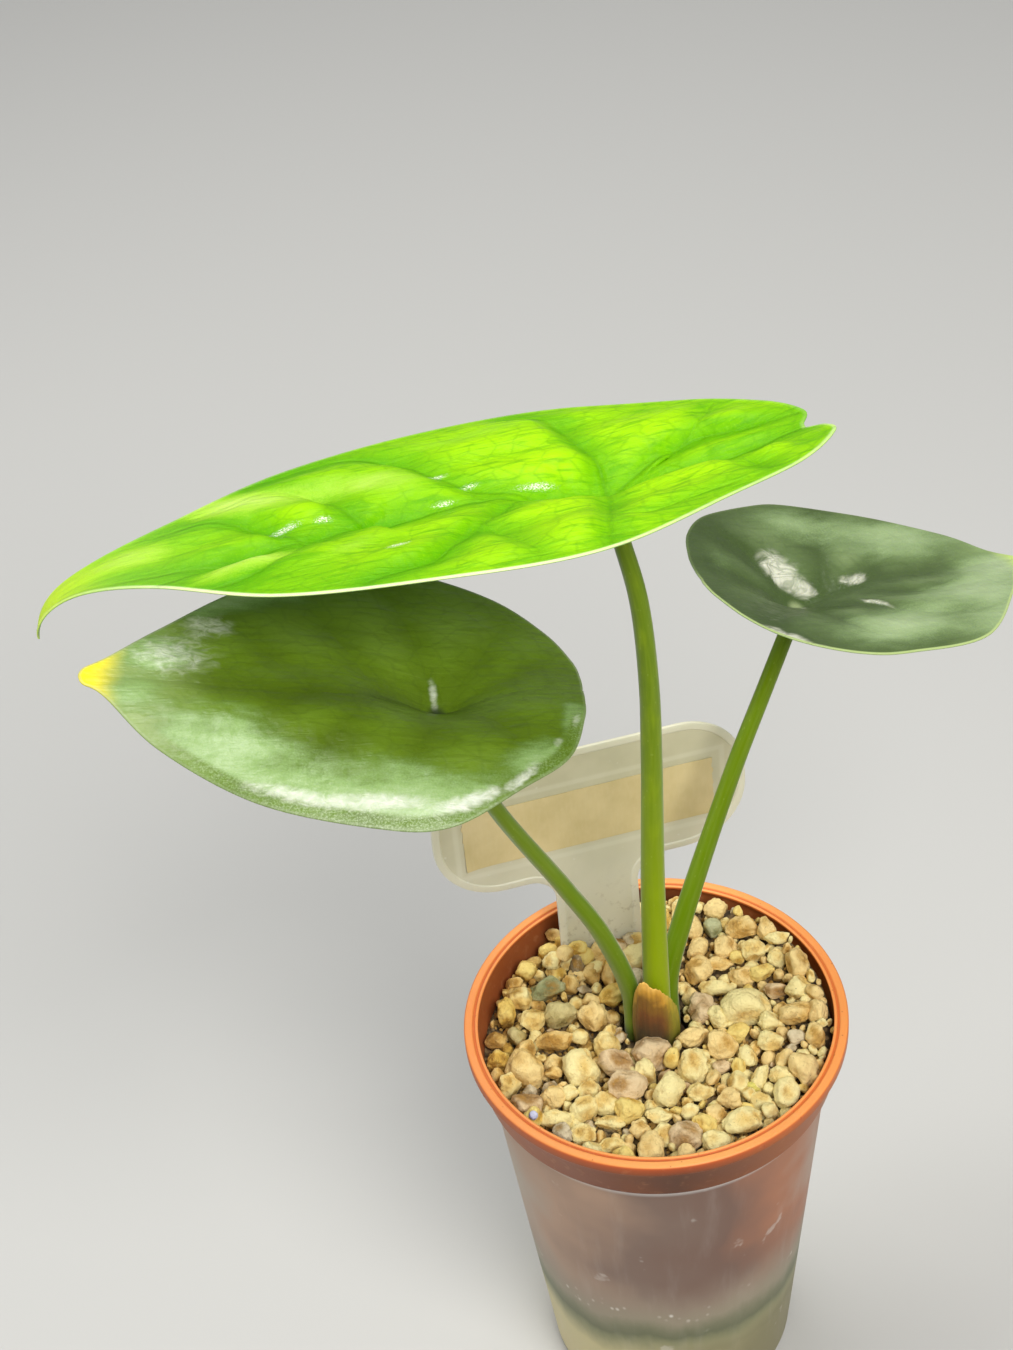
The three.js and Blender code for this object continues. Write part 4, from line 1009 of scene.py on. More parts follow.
def sheath_material():
    """Brown dried skin, reddish in the middle, with a straw-coloured torn edge."""
    s = Shader("dry_sheath")
    side = s.value("side")
    fibres = s.noise(900, 4, squeeze=(1, 1, 0.15))
    cloud = s.noise(330, 4, 0.6)
    below = s.value("below_edge") + (cloud - 0.5) * 5.0
    s.colour = s.ramp(
        below.spread(0, 15, smooth=False),
        (0.0, (0.86, 0.50, 0.10)), (0.13, (0.62, 0.32, 0.04)), (0.27, (0.24, 0.12, 0.018)),
        (0.5, (0.17, 0.062, 0.018)), (0.85, (0.06, 0.042, 0.02)),
    )
    s.paint((0.30, 0.31, 0.03), side, 0.5, 0.74, 0, 0.75)
    s.paint((0.24, 0.24, 0.04), side, 0, 0.2, 0.45, 0)
    s.paint((0.46, 0.26, 0.08), fibres, 0.5, 0.72, 0, 0.12)
    s.bump(fibres, 0.12, 0.4)
    s.bump(cloud, 0.5, 0.5)
    return s.finish(0.55)


# Gravel

BED = {
    "height": 83.4, "slope_x": 0.035, "slope_y": -0.02, "sink": 0.6, "under_crumbs": 0.9,
    "uneven": 0.35,
}
HOLLOW = {"x": -13.5, "y": 0.0, "depth": 2.6, "spread": 6.0}
BANK = {"rise": 5.2, "angle": 45.0, "from": 16.0, "to": 31.0, "power": 1.5}
GRAIN_CLASSES = [(3.5, 400), (2.8, 1200)]
GRAIN_SPACING = 0.67
GRAIN_RISE = 0.45
GRAIN_ROOM = 1.04
GRAIN_REACH = 32.0
GRAIN_SEED = 20260
SMALL_GRAINS = {"first": 2.5, "last": 0.8, "reach": 32.4, "spacing": 0.70}
# Tones: random, with painted shade that darkens the stones at the back left and round the hollow
TONE = {
    "base": 0.30, "drop": 1.2, "slant": 0.5, "shade_reach": 30.0,
    "hollow_shift": 3.0, "hollow_reach": 7.0,
}

# The most visible stones: kind, place on the bed, half width, half height and the turn, in
# degrees, that lifts the right end
MARKED_GRAINS = [
    ("tan", -24.5, -5, 3.5, 4, 0), ("tan", -18.5, 2, 4, 2, 0),
    ("cream", -14.5, -6.5, 3.5, 4.5, 0), ("cream", -9, 0, 2.5, 3, 0),
    ("russet", -1.7, -4.6, 4, 3.5, 0), ("russet", -6.5, -12, 4, 3, -28),
    ("russet", -25.5, -13.5, 3.5, 2.5, 0), ("tan", -20, -11.5, 2.5, 2.5, 0),
    ("olive", -19, 14, 3.5, 2.5, 0), ("ochre", -18, 23, 2.5, 1.5, 0),
    ("tan", -10.5, 16.5, 2.5, 2.5, 0), ("tan", -11, 10.5, 2, 2, 0), ("tan", -7, 15.5, 2, 3, 0),
    ("dull", -17.5, 8, 3.5, 2.5, 0), ("ochre", -27.5, 9, 2, 3.5, 0), ("tan", -29.5, 3.5, 2, 2, 0),
    ("dull", -25.5, 4, 2, 2, 0), ("cream", -20, -17.5, 3, 2, 0),
    ("cream", -10.5, -19.5, 3, 1.5, 0), ("cream", -15.5, -21.5, 2.5, 2, 0),
    ("cream", -1.5, -19.5, 3, 1.5, 0), ("cream", -10.5, -24.5, 2.5, 1.5, 0),
    ("ochre", -23, 19, 2.5, 2, 0), ("grey", -13.5, 19, 2, 3.5, 0), ("tan", 15, 26, 2.5, 2, 0),
    ("olive", 13.5, 22.5, 2, 2, 0), ("tan", 19, 20.5, 3.5, 2.5, 12), ("tan", 23.5, 19, 2, 2.5, 0),
    ("cream", 20, 15.5, 2.5, 2.5, 0), ("cream", 25, 16, 2.5, 1.5, 0),
    ("tan", 15, 18, 2.5, 2.5, 0), ("tan", 27.5, 9.5, 2.5, 3, 0), ("tan", 13.5, 14.5, 3, 1.5, 0),
    ("ochre", 21, 10.5, 2.5, 2, 20), ("russet", 23, 5.5, 2.5, 1.5, 0),
    ("cream", 27, 4.5, 2.5, 2.5, 0), ("cream", 12, 9, 3.5, 2, 0), ("russet", 8.6, 4.6, 3, 3, 0),
    ("cream", 17.5, 2.5, 5, 3.5, 0), ("tan", 26, -1.5, 3.5, 2.5, 0), ("tan", 29.5, -2, 2, 2.5, 0),
    ("tan", 28.5, -7.5, 2, 2.5, 0), ("grey", 25, -6, 2, 1.5, 0), ("cream", 20.5, -6, 2.5, 2.5, 0),
    ("tan", 6.2, -2.1, 3.5, 2, 10), ("tan", 11.5, -5, 3.5, 3, 0), ("cream", 16, -8.5, 2, 2.5, 0),
    ("cream", 21, -14.5, 2.5, 2, 0), ("tan", 26, -15, 2.5, 3.5, 25),
    ("russet", 11, -9.5, 2, 1.5, 0), ("cream", 5.5, -9, 3, 3.5, 0),
    ("cream", 1, -14, 3.5, 3.5, 0), ("cream", 13, -14.5, 2, 2.5, 0),
    ("cream", 6.5, -15, 2.5, 2, 0), ("cream", 16.5, -19, 2, 2, 0), ("cream", 13, -24, 4, 2.5, 15),
    ("cream", 4, -19, 2, 1.5, 0), ("russet", 2.5, -25, 3, 3, 0),
]


def bed_height(x, y):
    away = np.hypot(x - HOLLOW["x"], y - HOLLOW["y"]) / HOLLOW["spread"]
    slope = BED["slope_x"] * x + BED["slope_y"] * y
    facing = (1 + np.cos(np.arctan2(y, x) - math.radians(BANK["angle"]))) / 2
    outward = np.clip((np.hypot(x, y) - BANK["from"]) / (BANK["to"] - BANK["from"]), 0, 1)
    bank = BANK["rise"] * facing ** 2 * outward ** BANK["power"]
    return BED["height"] + slope + bank - HOLLOW["depth"] * np.exp(-away * away / 2)


def body_radius(z):
    part = (z - POT_FLOOR) / (POT_BAND_BOTTOM - POT_FLOOR)
    return lerp(POT_FLOOR_RADIUS, POT_SHOULDER_RADIUS, part)


def band_radius(z):
    part = (z - POT_BAND_BOTTOM) / (LIP_HEIGHT - POT_LIP_DEPTH - POT_BAND_BOTTOM)
    return lerp(POT_BAND_BOTTOM_RADIUS, POT_BAND_TOP_RADIUS, part)


def pot_inside(z):
    return (body_radius(z) if z < POT_INNER_STEP else band_radius(z)) - POT_WALL


def grain_room(z, r):
    """Radius that grains may fill at a height: the flange narrows the top."""
    under_flange = z + r < LIP_HEIGHT - POT_FLANGE["depth"] - GAP
    return (pot_inside(z) if under_flange else POT_FLANGE["radius"]) - GAP - GRAIN_ROOM * r


def off_crown(x, y):
    return math.hypot(x - CROWN["x"], y - CROWN["y"])


def marked_grain(kind, x, y, half_width, half_height, lift=0):
    """A marked stone, slid inwards where it would touch the wall."""
    r = max(half_width, half_height)
    z = float(bed_height(x, y)) + GRAIN_RISE * r
    share = min(1.0, grain_room(z, r) / math.hypot(x, y))
    return {
        "x": x * share, "y": y * share, "z": z, "r": r, "turn": (0.0, -math.radians(lift), 0.0),
        "squash": (half_width / r, half_height / r, half_height / r), "kind": kind,
    }


def large_grains():
    """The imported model's grains, by the same rule and draws."""
    draw = seeded_random(GRAIN_SEED)
    places = [marked_grain(*row) for row in MARKED_GRAINS]
    for radius, tries in GRAIN_CLASSES:
        for _ in range(tries):
            r = radius * (0.88 + 0.24 * next(draw))
            angle = FULL_TURN * next(draw)
            out = GRAIN_REACH * math.sqrt(next(draw))
            turns = [FULL_TURN * next(draw) for _ in range(3)]
            squash = (1.0, 0.72 + 0.24 * next(draw), 0.62 + 0.24 * next(draw))
            x, y = out * math.cos(angle), out * math.sin(angle)
            z = float(bed_height(x, y)) + GRAIN_RISE * r
            clear = all(
                math.hypot(x - p["x"], y - p["y"]) > GRAIN_SPACING * (r + p["r"]) for p in places
            )
            if clear and out < grain_room(z, r) and off_crown(x, y) > CROWN["hole"] + 0.6 * r:
                places.append({"x": x, "y": y, "z": z, "r": r, "turn": turns, "squash": squash})
    return places


# The label stands in the gravel: its plane's axes, front last, and its place
LABEL_AXES = (
    turn(2, math.radians(LABEL["yaw"]))
    @ turn(0, math.pi / 2 - math.radians(LABEL["lean"]))
    @ turn(2, math.radians(LABEL["roll"]))
)
LABEL_PLACE = np.array([LABEL["x"], LABEL["y"], LABEL["head_bottom"]])


def centre_of(place):
    return np.array([place[axis] for axis in "xyz"])


def clear_of_label(place):
    """Slides a grain off the label's stem, along the label's normal."""
    centre = centre_of(place)
    off = float(np.dot(centre - LABEL_PLACE, LABEL_AXES[:, 2]))
    beside = abs(centre[0] - LABEL["x"]) - LABEL["stem_width"] / 2 > place["r"]
    least = 0.86 * place["r"] + LABEL["thickness"] / 2
    if beside or abs(off) >= least:
        return place
    centre += LABEL_AXES[:, 2] * (math.copysign(least, off) - off)
    return {**place, **dict(zip("xyz", centre.tolist()))}


# What stands in the crown's hole: x, y and the radius that grains keep clear of
CROWN_STANDS = [(0.6, 2.4, 2.7), (0.3, 2.2, 4.7), (-3.5, 5.0, 2.1), (3.1, 7.1, 2.45)]


def random_spot(draws, reach):
    """A spot in a circle: its distance from the middle, and its place."""
    out = reach * math.sqrt(draws.uniform())
    angle = draws.uniform(0, FULL_TURN)
    return out, out * math.cos(angle), out * math.sin(angle)


def small_grains(large, seed=7, tries=16000):
    """Grains that fill the gaps between the large ones and close in on the stalks."""
    draws = np.random.default_rng(seed)
    placed = np.array([[*centre_of(place), place["r"]] for place in large])
    kept = []
    for n in range(tries):
        size = lerp(SMALL_GRAINS["first"], SMALL_GRAINS["last"], (n / tries) ** 0.6)
        r = size * draws.uniform(0.85, 1.15)
        out, x, y = random_spot(draws, SMALL_GRAINS["reach"])
        lift = draws.uniform(-0.2, 1.25)
        turns = draws.uniform(0, FULL_TURN, 3).tolist()
        squash = (1.0, draws.uniform(0.62, 0.92), draws.uniform(0.55, 0.85))
        sink = 0.6 if off_crown(x, y) < CROWN["hole"] + r else 0.3
        z = float(bed_height(x, y)) + lift * r - sink
        if out > grain_room(z, r):
            continue
        if any(math.hypot(x - sx, y - sy) < sr + 0.95 * r for sx, sy, sr in CROWN_STANDS):
            continue
        least = SMALL_GRAINS["spacing"] * (placed[:, 3] + r)
        if np.all(np.linalg.norm(placed[:, :3] - (x, y, z), axis=1) >= least):
            placed = np.vstack([placed, (x, y, z, r)])
            kept.append({"x": x, "y": y, "z": z, "r": r, "turn": turns, "squash": squash})
    return kept


# Kinds of stone: share of the grains, and colours from dark hollows to pale crests
STONES = {
    "cream": (0.42, ((0.54, 0.33, 0.085), (0.90, 0.64, 0.22), (1.0, 0.86, 0.42))),
    "tan": (0.32, ((0.42, 0.235, 0.065), (0.76, 0.48, 0.145), (0.98, 0.74, 0.33))),
    "ochre": (0.16, ((0.40, 0.22, 0.045), (0.78, 0.49, 0.10), (0.98, 0.76, 0.26))),
    "russet": (0.03, ((0.20, 0.11, 0.04), (0.46, 0.275, 0.115), (0.86, 0.66, 0.40))),
    "olive": (0.0, ((0.17, 0.18, 0.08), (0.33, 0.35, 0.17), (0.55, 0.56, 0.32))),
    "dull": (0.02, ((0.22, 0.17, 0.06), (0.44, 0.35, 0.13), (0.68, 0.57, 0.27))),
    "grey": (0.04, ((0.27, 0.20, 0.11), (0.50, 0.40, 0.24), (0.80, 0.68, 0.46))),
    "mossy": (0.0, ((0.34, 0.27, 0.02), (0.60, 0.50, 0.05), (0.80, 0.72, 0.20))),
    "bead": (0.0, ((0.30, 0.30, 0.55), (0.45, 0.46, 0.80), (0.70, 0.72, 0.95))),
}
# Small stones with a kind of their own: place on the bed, radius and height above their bed place
MARKED_SMALL = [
    ("mossy", 15.5, -15.5, 1.5, 0), ("mossy", 8.0, -19.5, 1.6, 0), ("mossy", 12.0, -17.0, 1.0, 0),
    ("cream", -14.6, 19.0, 2.0, 1.6), ("ochre", -11.6, 19.8, 2.3, 2.0),
    ("tan", -8.3, 20.4, 2.4, 2.1), ("russet", -5.0, 21.2, 2.2, 2.2),
    ("grey", -2.0, 21.9, 2.0, 2.0), ("tan", 0.8, 22.0, 1.9, 1.6), ("tan", -13.0, 16.4, 1.9, 1.0),
    ("cream", -9.4, 17.2, 2.0, 1.1), ("ochre", -6.0, 18.0, 1.9, 1.2),
    ("tan", -2.8, 18.8, 1.9, 1.1), ("dull", 0.3, 19.4, 1.8, 0.9),
    ("ochre", -16.8, 17.2, 1.8, 0.9), ("cream", -17.6, 19.0, 2.2, 3.0),
    ("tan", -15.0, 19.4, 2.2, 3.8), ("ochre", -12.6, 20.2, 2.0, 4.0),
]
BEAD = {"x": -24.0, "y": -18.2, "r": 0.95, "rise": 4.2}


def sort_stones(large, small, seed=11):
    """Gives a tone to each grain and a kind to each that has none, and adds the marked ones."""
    draws = np.random.default_rng(seed)
    names = [name for name, (share, _) in STONES.items() if share > 0]
    shares = np.array([STONES[name][0] for name in names])
    for place in [*large, *small]:
        place.setdefault("kind", names[draws.choice(len(names), p=shares / shares.sum())])
        # Painted shade: lower tones at the back left and round the hollow
        back_left = (TONE["slant"] * place["y"] - place["x"]) / TONE["shade_reach"]
        behind = place["y"] - HOLLOW["y"] - TONE["hollow_shift"]
        away = math.hypot(place["x"] - HOLLOW["x"], behind)
        shade = max(0.0, min(1.0, back_left), 1.0 - away / TONE["hollow_reach"])
        place["tone"] = draws.uniform() + TONE["base"] - TONE["drop"] * shade
    for kind, x, y, r, rise in MARKED_SMALL:
        place = marked_grain(kind, x, y, r, 0.8 * r)
        place["z"] += rise
        small.append({**clear_of_label(place), "tone": 0.5})
    z = float(bed_height(BEAD["x"], BEAD["y"])) + BEAD["rise"]
    bead = {**BEAD, "z": z, "turn": (0, 0, 0), "squash": (1, 1, 1), "kind": "bead", "tone": 0.5}
    small.append(bead)


def ball(subdivisions):
    """Points and faces of a unit ball."""
    shape = bmesh.new()
    bmesh.ops.create_icosphere(shape, subdivisions=subdivisions, radius=1)
    points = np.array([v.co[:] for v in shape.verts])
    faces = np.array([[v.index for v in f.verts] for f in shape.faces])
    shape.free()
    return points, faces


# Worn stones: number and sharpness of the flats, and number, depth and pitch of the dents
WEAR = {"flats": 11, "power": 12, "waves": 9, "dent": 0.021, "pitch": 1.6, "swell": 1.03}


def worn_stone(shape, place, draws):
    """A pebble: a ball worn flat on several sides, dented, squashed and turned. Returns its
    points, its faces and how far each point stands out."""
    power, waves = WEAR["power"], WEAR["waves"]
    sides = unit(draws.normal(size=(WEAR["flats"], 3)))
    depths = draws.uniform(0.60, 0.97, WEAR["flats"])
    pressed = np.maximum(shape[0] @ sides.T / depths, 0) ** power
    radial = (1 + pressed.sum(1)) ** (-1 / power)
    crest = (radial - radial.min()) / (radial.max() - radial.min() + 1e-9)
    ways = unit(draws.normal(size=(waves, 3))) * draws.uniform(2.5, 11, (waves, 1))
    phases = draws.uniform(0, FULL_TURN, waves)
    dents = np.sin(shape[0] @ ways.T * WEAR["pitch"] + phases).sum(1)
    radial = radial * (1 + WEAR["dent"] * dents)
    shaped = shape[0] * radial[:, None] * place["r"] * np.array(place["squash"]) * WEAR["swell"]
    return shaped @ turned(*place["turn"]).T + centre_of(place), shape[1], crest


def stones_piece(name, stones, tones, material):
    """Joins worn stones into one piece, each with a tone of its own."""
    faces, start = [], 0
    for points, own, _ in stones:
        faces += (own + start).tolist()
        start += len(points)
    values = {
        "tone": np.repeat(tones, [len(stone[0]) for stone in stones]),
        "crest": np.concatenate([stone[2] for stone in stones]),
    }
    shape = np.concatenate([stone[0] for stone in stones]), faces
    add_piece(name, shape, material, "substrate", values, mend=False)


def gravel_pieces(places, seed=23):
    """One piece for each kind of stone, with finer balls for larger stones."""
    draws = np.random.default_rng(seed)
    fine, coarse, rough = ball(4), ball(3), ball(2)
    groups = {}
    for place in places:
        shape = fine if place["r"] > 2.4 else coarse if place["r"] > 1.3 else rough
        stones, tones = groups.setdefault(place["kind"], ([], []))
        stones.append(worn_stone(shape, place, draws))
        tones.append(place["tone"])
    for kind, (stones, tones) in groups.items():
        stones_piece("gravel_" + kind, stones, tones, stone_material(kind))


def stone_material(kind):
    """Pumice grit: mottled, ochre in its flats and hollows and dusted pale along its worn edges."""
    dark, middle, pale = STONES[kind][1]
    s = Shader("stone_" + kind)
    crest = s.value("crest")
    mottle = s.noise(420, 6, 0.68)
    # A stone's tone, lowered by painted shade at the back left and round the hollow, shifts its
    # colour
    level = mottle * 0.7 + s.noise(190) * 0.4 + (s.value("tone") - 0.5) * 0.22 + crest * 0.46
    s.colour = s.ramp(level, (0.42, dark), (0.64, middle), (0.92, pale))
    stain = s.noise(260, 5, 0.7).spread(0.46, 0.64)
    s.paint((0.50, 0.26, 0.05), stain * crest.spread(0.15, 0.75, 0.7, 0.105))
    s.paint(dark, s.noise(330, 5, 0.7), 0.56, 0.72, 0, 0.5)
    s.paint(pale, s.noise(900, 5, 0.65), 0.52, 0.72, 0, 0.45)
    s.paint((0.12, 0.075, 0.03), s.noise(1500, 3, 0.6), 0.64, 0.74, 0, 0.45)
    s.bump(mottle, 1.9, 0.9)
    return s.finish(0.85, IOR=1.4, Specular_IOR_Level=0.15)


# Hollow of the rootstock in the bed: radii and heights, from the crown's hole down
ROOT_HOLLOW = [(7.1, 78.5), (7.9, 74), (8, 62), (13, 57), (13.4, 45), (12, 43), (2, 43)]


def bed_piece(segments=96):
    """Fine grit under the stones, open where the rootstock and its roots stand."""
    angles = np.arange(segments) * FULL_TURN / segments

    def ring(radius, height, x=0.0, y=0.0):
        px, py = x + radius * np.cos(angles), y + radius * np.sin(angles)
        pz = height(px, py) if callable(height) else np.full(segments, float(height))
        return np.stack([px, py, pz], -1)

    def top(x, y):
        low = bed_height(x, y) - BED["sink"] - BED["under_crumbs"]
        return low + BED["uneven"] * ripple(x, y, 4, 3)

    floor = POT_FLOOR + POT_WALL + GAP
    low_edge = pot_inside(floor + 1) - GAP
    edge = pot_inside(POT_INNER_STEP + 1) - GAP
    rings = [
        ring(2.0, floor), ring(low_edge - 1.6, floor), ring(low_edge, floor + 1.2),
        ring(pot_inside(POT_BAND_BOTTOM) - GAP, POT_BAND_BOTTOM),
        ring(edge, POT_INNER_STEP + 0.4), ring(edge, top),
    ]
    for part in np.linspace(0.1, 1, 16):
        radius = lerp(edge, CROWN["hole"], part)
        rings.append(ring(radius, top, CROWN["x"] * part, CROWN["y"] * part))
    rings += [ring(radius, height, CROWN["x"], CROWN["y"]) for radius, height in ROOT_HOLLOW]
    shape = closed_tube(rings, (0, 0, floor), (CROWN["x"], CROWN["y"], ROOT_HOLLOW[-1][1]))
    bed = add_piece("gravel_bed", shape, grit_material(), "substrate")
    cut(bed, [label_slot()])


def grit_material():
    s = Shader("grit")
    grains = s.cells(1100)
    s.colour = s.ramp(
        s.noise(700, 4), (0.3, (0.10, 0.065, 0.03)), (0.5, (0.28, 0.19, 0.085)),
        (0.75, (0.5, 0.37, 0.18)),
    )
    s.paint((0.06, 0.04, 0.02), grains, 0.3, 0.7)
    s.bump(grains, 0.6, -0.8)
    return s.finish(0.9)


def grit_piece(material, seed=31, tries=2200):
    """Crumbs on the bed between the stones."""
    draws = np.random.default_rng(seed)
    shape = ball(1)
    stones, tones = [], []
    for _ in range(tries):
        r = draws.uniform(0.35, 0.8)
        out, x, y = random_spot(draws, GRAIN_REACH)
        turns = draws.uniform(0, FULL_TURN, 3).tolist()
        in_hole = off_crown(x, y) < CROWN["hole"] + r
        if in_hole or out + r > pot_inside(POT_INNER_STEP + 1) - GAP:
            continue
        z = float(bed_height(x, y)) - BED["sink"] - 0.6
        place = {"x": x, "y": y, "z": z, "r": r, "turn": turns, "squash": (1, 0.85, 0.8)}
        points, faces, crest = worn_stone(shape, clear_of_label(place), draws)
        stones.append((points, faces, 0 * crest))
        tones.append(draws.uniform())
    stones_piece("gravel_grit", stones, tones, material)


def label_slot():
    """A box round the label's stem, a little wider than it."""
    shape = bmesh.new()
    bmesh.ops.create_cube(shape, size=1.0)
    wide, deep = LABEL["stem_width"] + 2 * GAP, LABEL["thickness"] + 2 * GAP
    for vertex in shape.verts:
        x, y, z = vertex.co
        flat = np.array([x * wide, (y - 0.5) * (LABEL["stem_length"] + GAP), z * deep])
        vertex.co = place_on_label(flat) * MM
    return as_mesh(shape)


# Nursery pot


def drain_hole(x, y):
    shape = bmesh.new()
    radius = DRAIN_HOLES["radius"] * MM
    bmesh.ops.create_cone(
        shape, cap_ends=True, segments=32, radius1=radius, radius2=radius, depth=2 * radius,
        matrix=Matrix.Translation((x * MM, y * MM, POT_FLOOR * MM)),
    )
    return as_mesh(shape)


def turned_piece(name, profile, rounding, segments, material, node):
    shape = lathe(rounded(profile, rounding), segments)
    return add_piece(name, shape, material, node)


def pot_piece(material):
    """The pot with its lip, the step inside it, its band and its drain holes."""
    lip_low = LIP_HEIGHT - POT_LIP_DEPTH
    inside = POT_FLANGE["radius"]
    flange_low = LIP_HEIGHT - POT_FLANGE["depth"]
    profile = [
        (0, POT_FLOOR), (POT_FLOOR_RADIUS - 0.4, POT_FLOOR),
        (body_radius(POT_FLOOR + 1), POT_FLOOR + 1),
        (POT_SHOULDER_RADIUS, POT_BAND_BOTTOM), (POT_BAND_BOTTOM_RADIUS, POT_BAND_BOTTOM),
        (POT_BAND_BOTTOM_RADIUS + 0.15, POT_BAND_BOTTOM + 0.5),
        (POT_BAND_TOP_RADIUS, lip_low), (LIP_RADIUS, lip_low + 0.25),
        (LIP_RADIUS, LIP_HEIGHT - 0.25), (LIP_RADIUS - 0.35, LIP_HEIGHT),
        *[(inside + out, LIP_HEIGHT - down) for out, down in POT_GROOVE],
        (inside, flange_low), (pot_inside(flange_low), flange_low),
        (band_radius(POT_INNER_STEP) - POT_WALL, POT_INNER_STEP),
        (body_radius(POT_BAND_BOTTOM) - POT_WALL, POT_BAND_BOTTOM - 0.4),
        (body_radius(POT_FLOOR + 2) - POT_WALL, POT_FLOOR + 2),
        (POT_FLOOR_RADIUS - POT_WALL - 1, POT_FLOOR + POT_WALL), (0, POT_FLOOR + POT_WALL),
    ]
    pot = turned_piece(
        "nursery_pot", profile, 0.35, 192, material, "inner_pot",
    )
    holes = []
    for k in range(DRAIN_HOLES["count"]):
        angle = FULL_TURN * k / DRAIN_HOLES["count"]
        out = DRAIN_HOLES["circle"]
        holes.append(drain_hole(out * math.cos(angle), out * math.sin(angle)))
    cut(pot, [*holes, drain_hole(0, 0)])
    for polygon in pot.data.polygons:
        polygon.use_smooth = True


def pot_material():
    """Orange-brown moulded plastic with painted light and shade: duller and darker on the band and
    below it, lighter up the lip and brightest on its top, lighter on the right and darker on
    the left; with dust and small scuffs.
    """
    s = Shader("terracotta_plastic")
    right, height = s.part(s.here, 0), s.part(s.here, 2)
    top, out = LIP_HEIGHT * MM, LIP_RADIUS * MM
    cloud = s.noise(45, 4)
    fine = s.noise(600, 4)
    # Painted light and shade by height: dark on the band and below, brightest on the lip's top
    s.colour = s.ramp(
        height.spread(top - 9 * MM, top, smooth=False),
        (0.0, (0.09, 0.032, 0.016)), (0.5, (0.10, 0.035, 0.016)), (0.78, (0.19, 0.052, 0.019)),
        (0.93, (0.40, 0.072, 0.019)), (0.968, (0.56, 0.11, 0.026)), (0.992, (0.97, 0.41, 0.125)),
    )
    # Painted light on the right side, painted shade on the left
    s.paint((0.78, 0.22, 0.045), right, 0, out, 0, 0.5, False)
    s.paint((0.55, 0.14, 0.035), right, -out, 0, 0.55, 0, False)
    s.paint((0.60, 0.20, 0.06), cloud, 0.4, 0.7, 0, 0.15)
    s.paint((0.80, 0.42, 0.2), fine, 0.55, 0.75, 0, 0.12)
    marks = s.cells(520, squeeze=(1, 1, 0.35)).spread(0.03, 0.12, 0.5, 0)
    s.paint((0.30, 0.05, 0.02), marks * height.spread(top - 5 * MM, top - 2 * MM))
    s.bump(fine, 0.05, 0.4)
    return s.finish(
        cloud.spread(0.3, 0.7, 0.36, 0.5), IOR=1.48, Specular_IOR_Level=0.25,
        Subsurface_Weight=0.12, Subsurface_Scale=0.0015, Subsurface_Radius=(1.0, 0.3, 0.1),
    )


# Frosted cup and its water


def cup_inside(z):
    return lerp(CUP_BASE_RADIUS, CUP_MOUTH_RADIUS, z / CUP_HEIGHT) - CUP_WALL


def cup_piece(material):
    """The cup: rounded rim, straight sides and a rounded foot."""
    fillet = CUP_FOOT_FILLET
    mouth = cup_inside(CUP_HEIGHT)
    profile = [
        (0, 0), (CUP_BASE_RADIUS - fillet, 0), (CUP_BASE_RADIUS - fillet * 0.3, fillet * 0.3),
        (cup_inside(fillet) + CUP_WALL, fillet), (mouth + CUP_WALL, CUP_HEIGHT),
        (mouth, CUP_HEIGHT), (cup_inside(fillet + CUP_WALL), fillet + CUP_WALL),
        (cup_inside(0) - fillet, CUP_WALL), (0, CUP_WALL),
    ]
    turned_piece("frosted_cup", profile, 0.45, 192, material, "outer_cup")


def cup_material():
    """Frosted plastic: a painted glow of the pot through it; algae and scale mark the water line.
    """
    s = Shader("frosted_plastic")
    height = s.part(s.here, 2)
    wander = s.noise(75, 5, 0.6, squeeze=(1, 1, 0.5))
    level = (height + (wander - 0.5) * 0.011) * (1 / (CUP_HEIGHT * MM))
    right = s.part(s.here, 0) * (1 / (CUP_MOUTH_RADIUS * MM)) + (s.noise(38) - 0.5) * 1.2
    # Painted glow of the lit pot through the wall: pale left, dark middle, orange to the right
    glow = s.ramp(
        right.spread(-1, 1, smooth=False), (0.0, (0.56, 0.46, 0.36)),
        (0.16, (0.55, 0.36, 0.25)), (0.42, (0.28, 0.19, 0.15)), (0.62, (0.25, 0.15, 0.115)),
        (0.86, (0.50, 0.22, 0.125)), (1.0, (0.54, 0.38, 0.29)),
    )
    s.colour = s.ramp(
        level, (0.0, (0.80, 0.69, 0.38)), (0.24, (0.74, 0.66, 0.36)), (0.31, (0.36, 0.35, 0.19)),
        (0.345, (0.20, 0.21, 0.12)), (0.375, (0.26, 0.255, 0.155)), (0.42, (0.41, 0.35, 0.25)),
        (0.49, (0.42, 0.33, 0.25)),
    )
    s.paint((0.16, 0.15, 0.075), right.spread(-0.7, 0.7) * level.spread(0.25, 0.33, 0.72, 0))
    s.paint(glow, level, 0.42, 0.62)
    s.paint((0.80, 0.72, 0.66), s.noise(260, 4, squeeze=(1, 1, 0.12)), 0.5, 0.75, 0, 0.10)
    scale = s.cells(520, squeeze=(1, 1, 0.7)).spread(0.08, 0.3, 1, 0)
    sparse = abs(level - 0.45).spread(0, 0.05, 1, 0) * s.noise(95, 2).spread(0.45, 0.6)
    spots = s.noise(160).spread(0.66, 0.74, 0, 0.45)
    s.paint((0.92, 0.86, 0.78), (scale * sparse).at_least(spots) * 0.8)
    # Painted highlight: a pale line just under the rim
    rim = CUP_HEIGHT * MM
    s.paint((0.86, 0.80, 0.76), height, rim - 2.6 * MM, rim - 1.3 * MM, 0, 0.75)
    s.bump(s.noise(2600, 2), 0.02, 0.3)
    return s.finish(0.44, Transmission_Weight=0.25, IOR=1.38, Specular_IOR_Level=0.3)


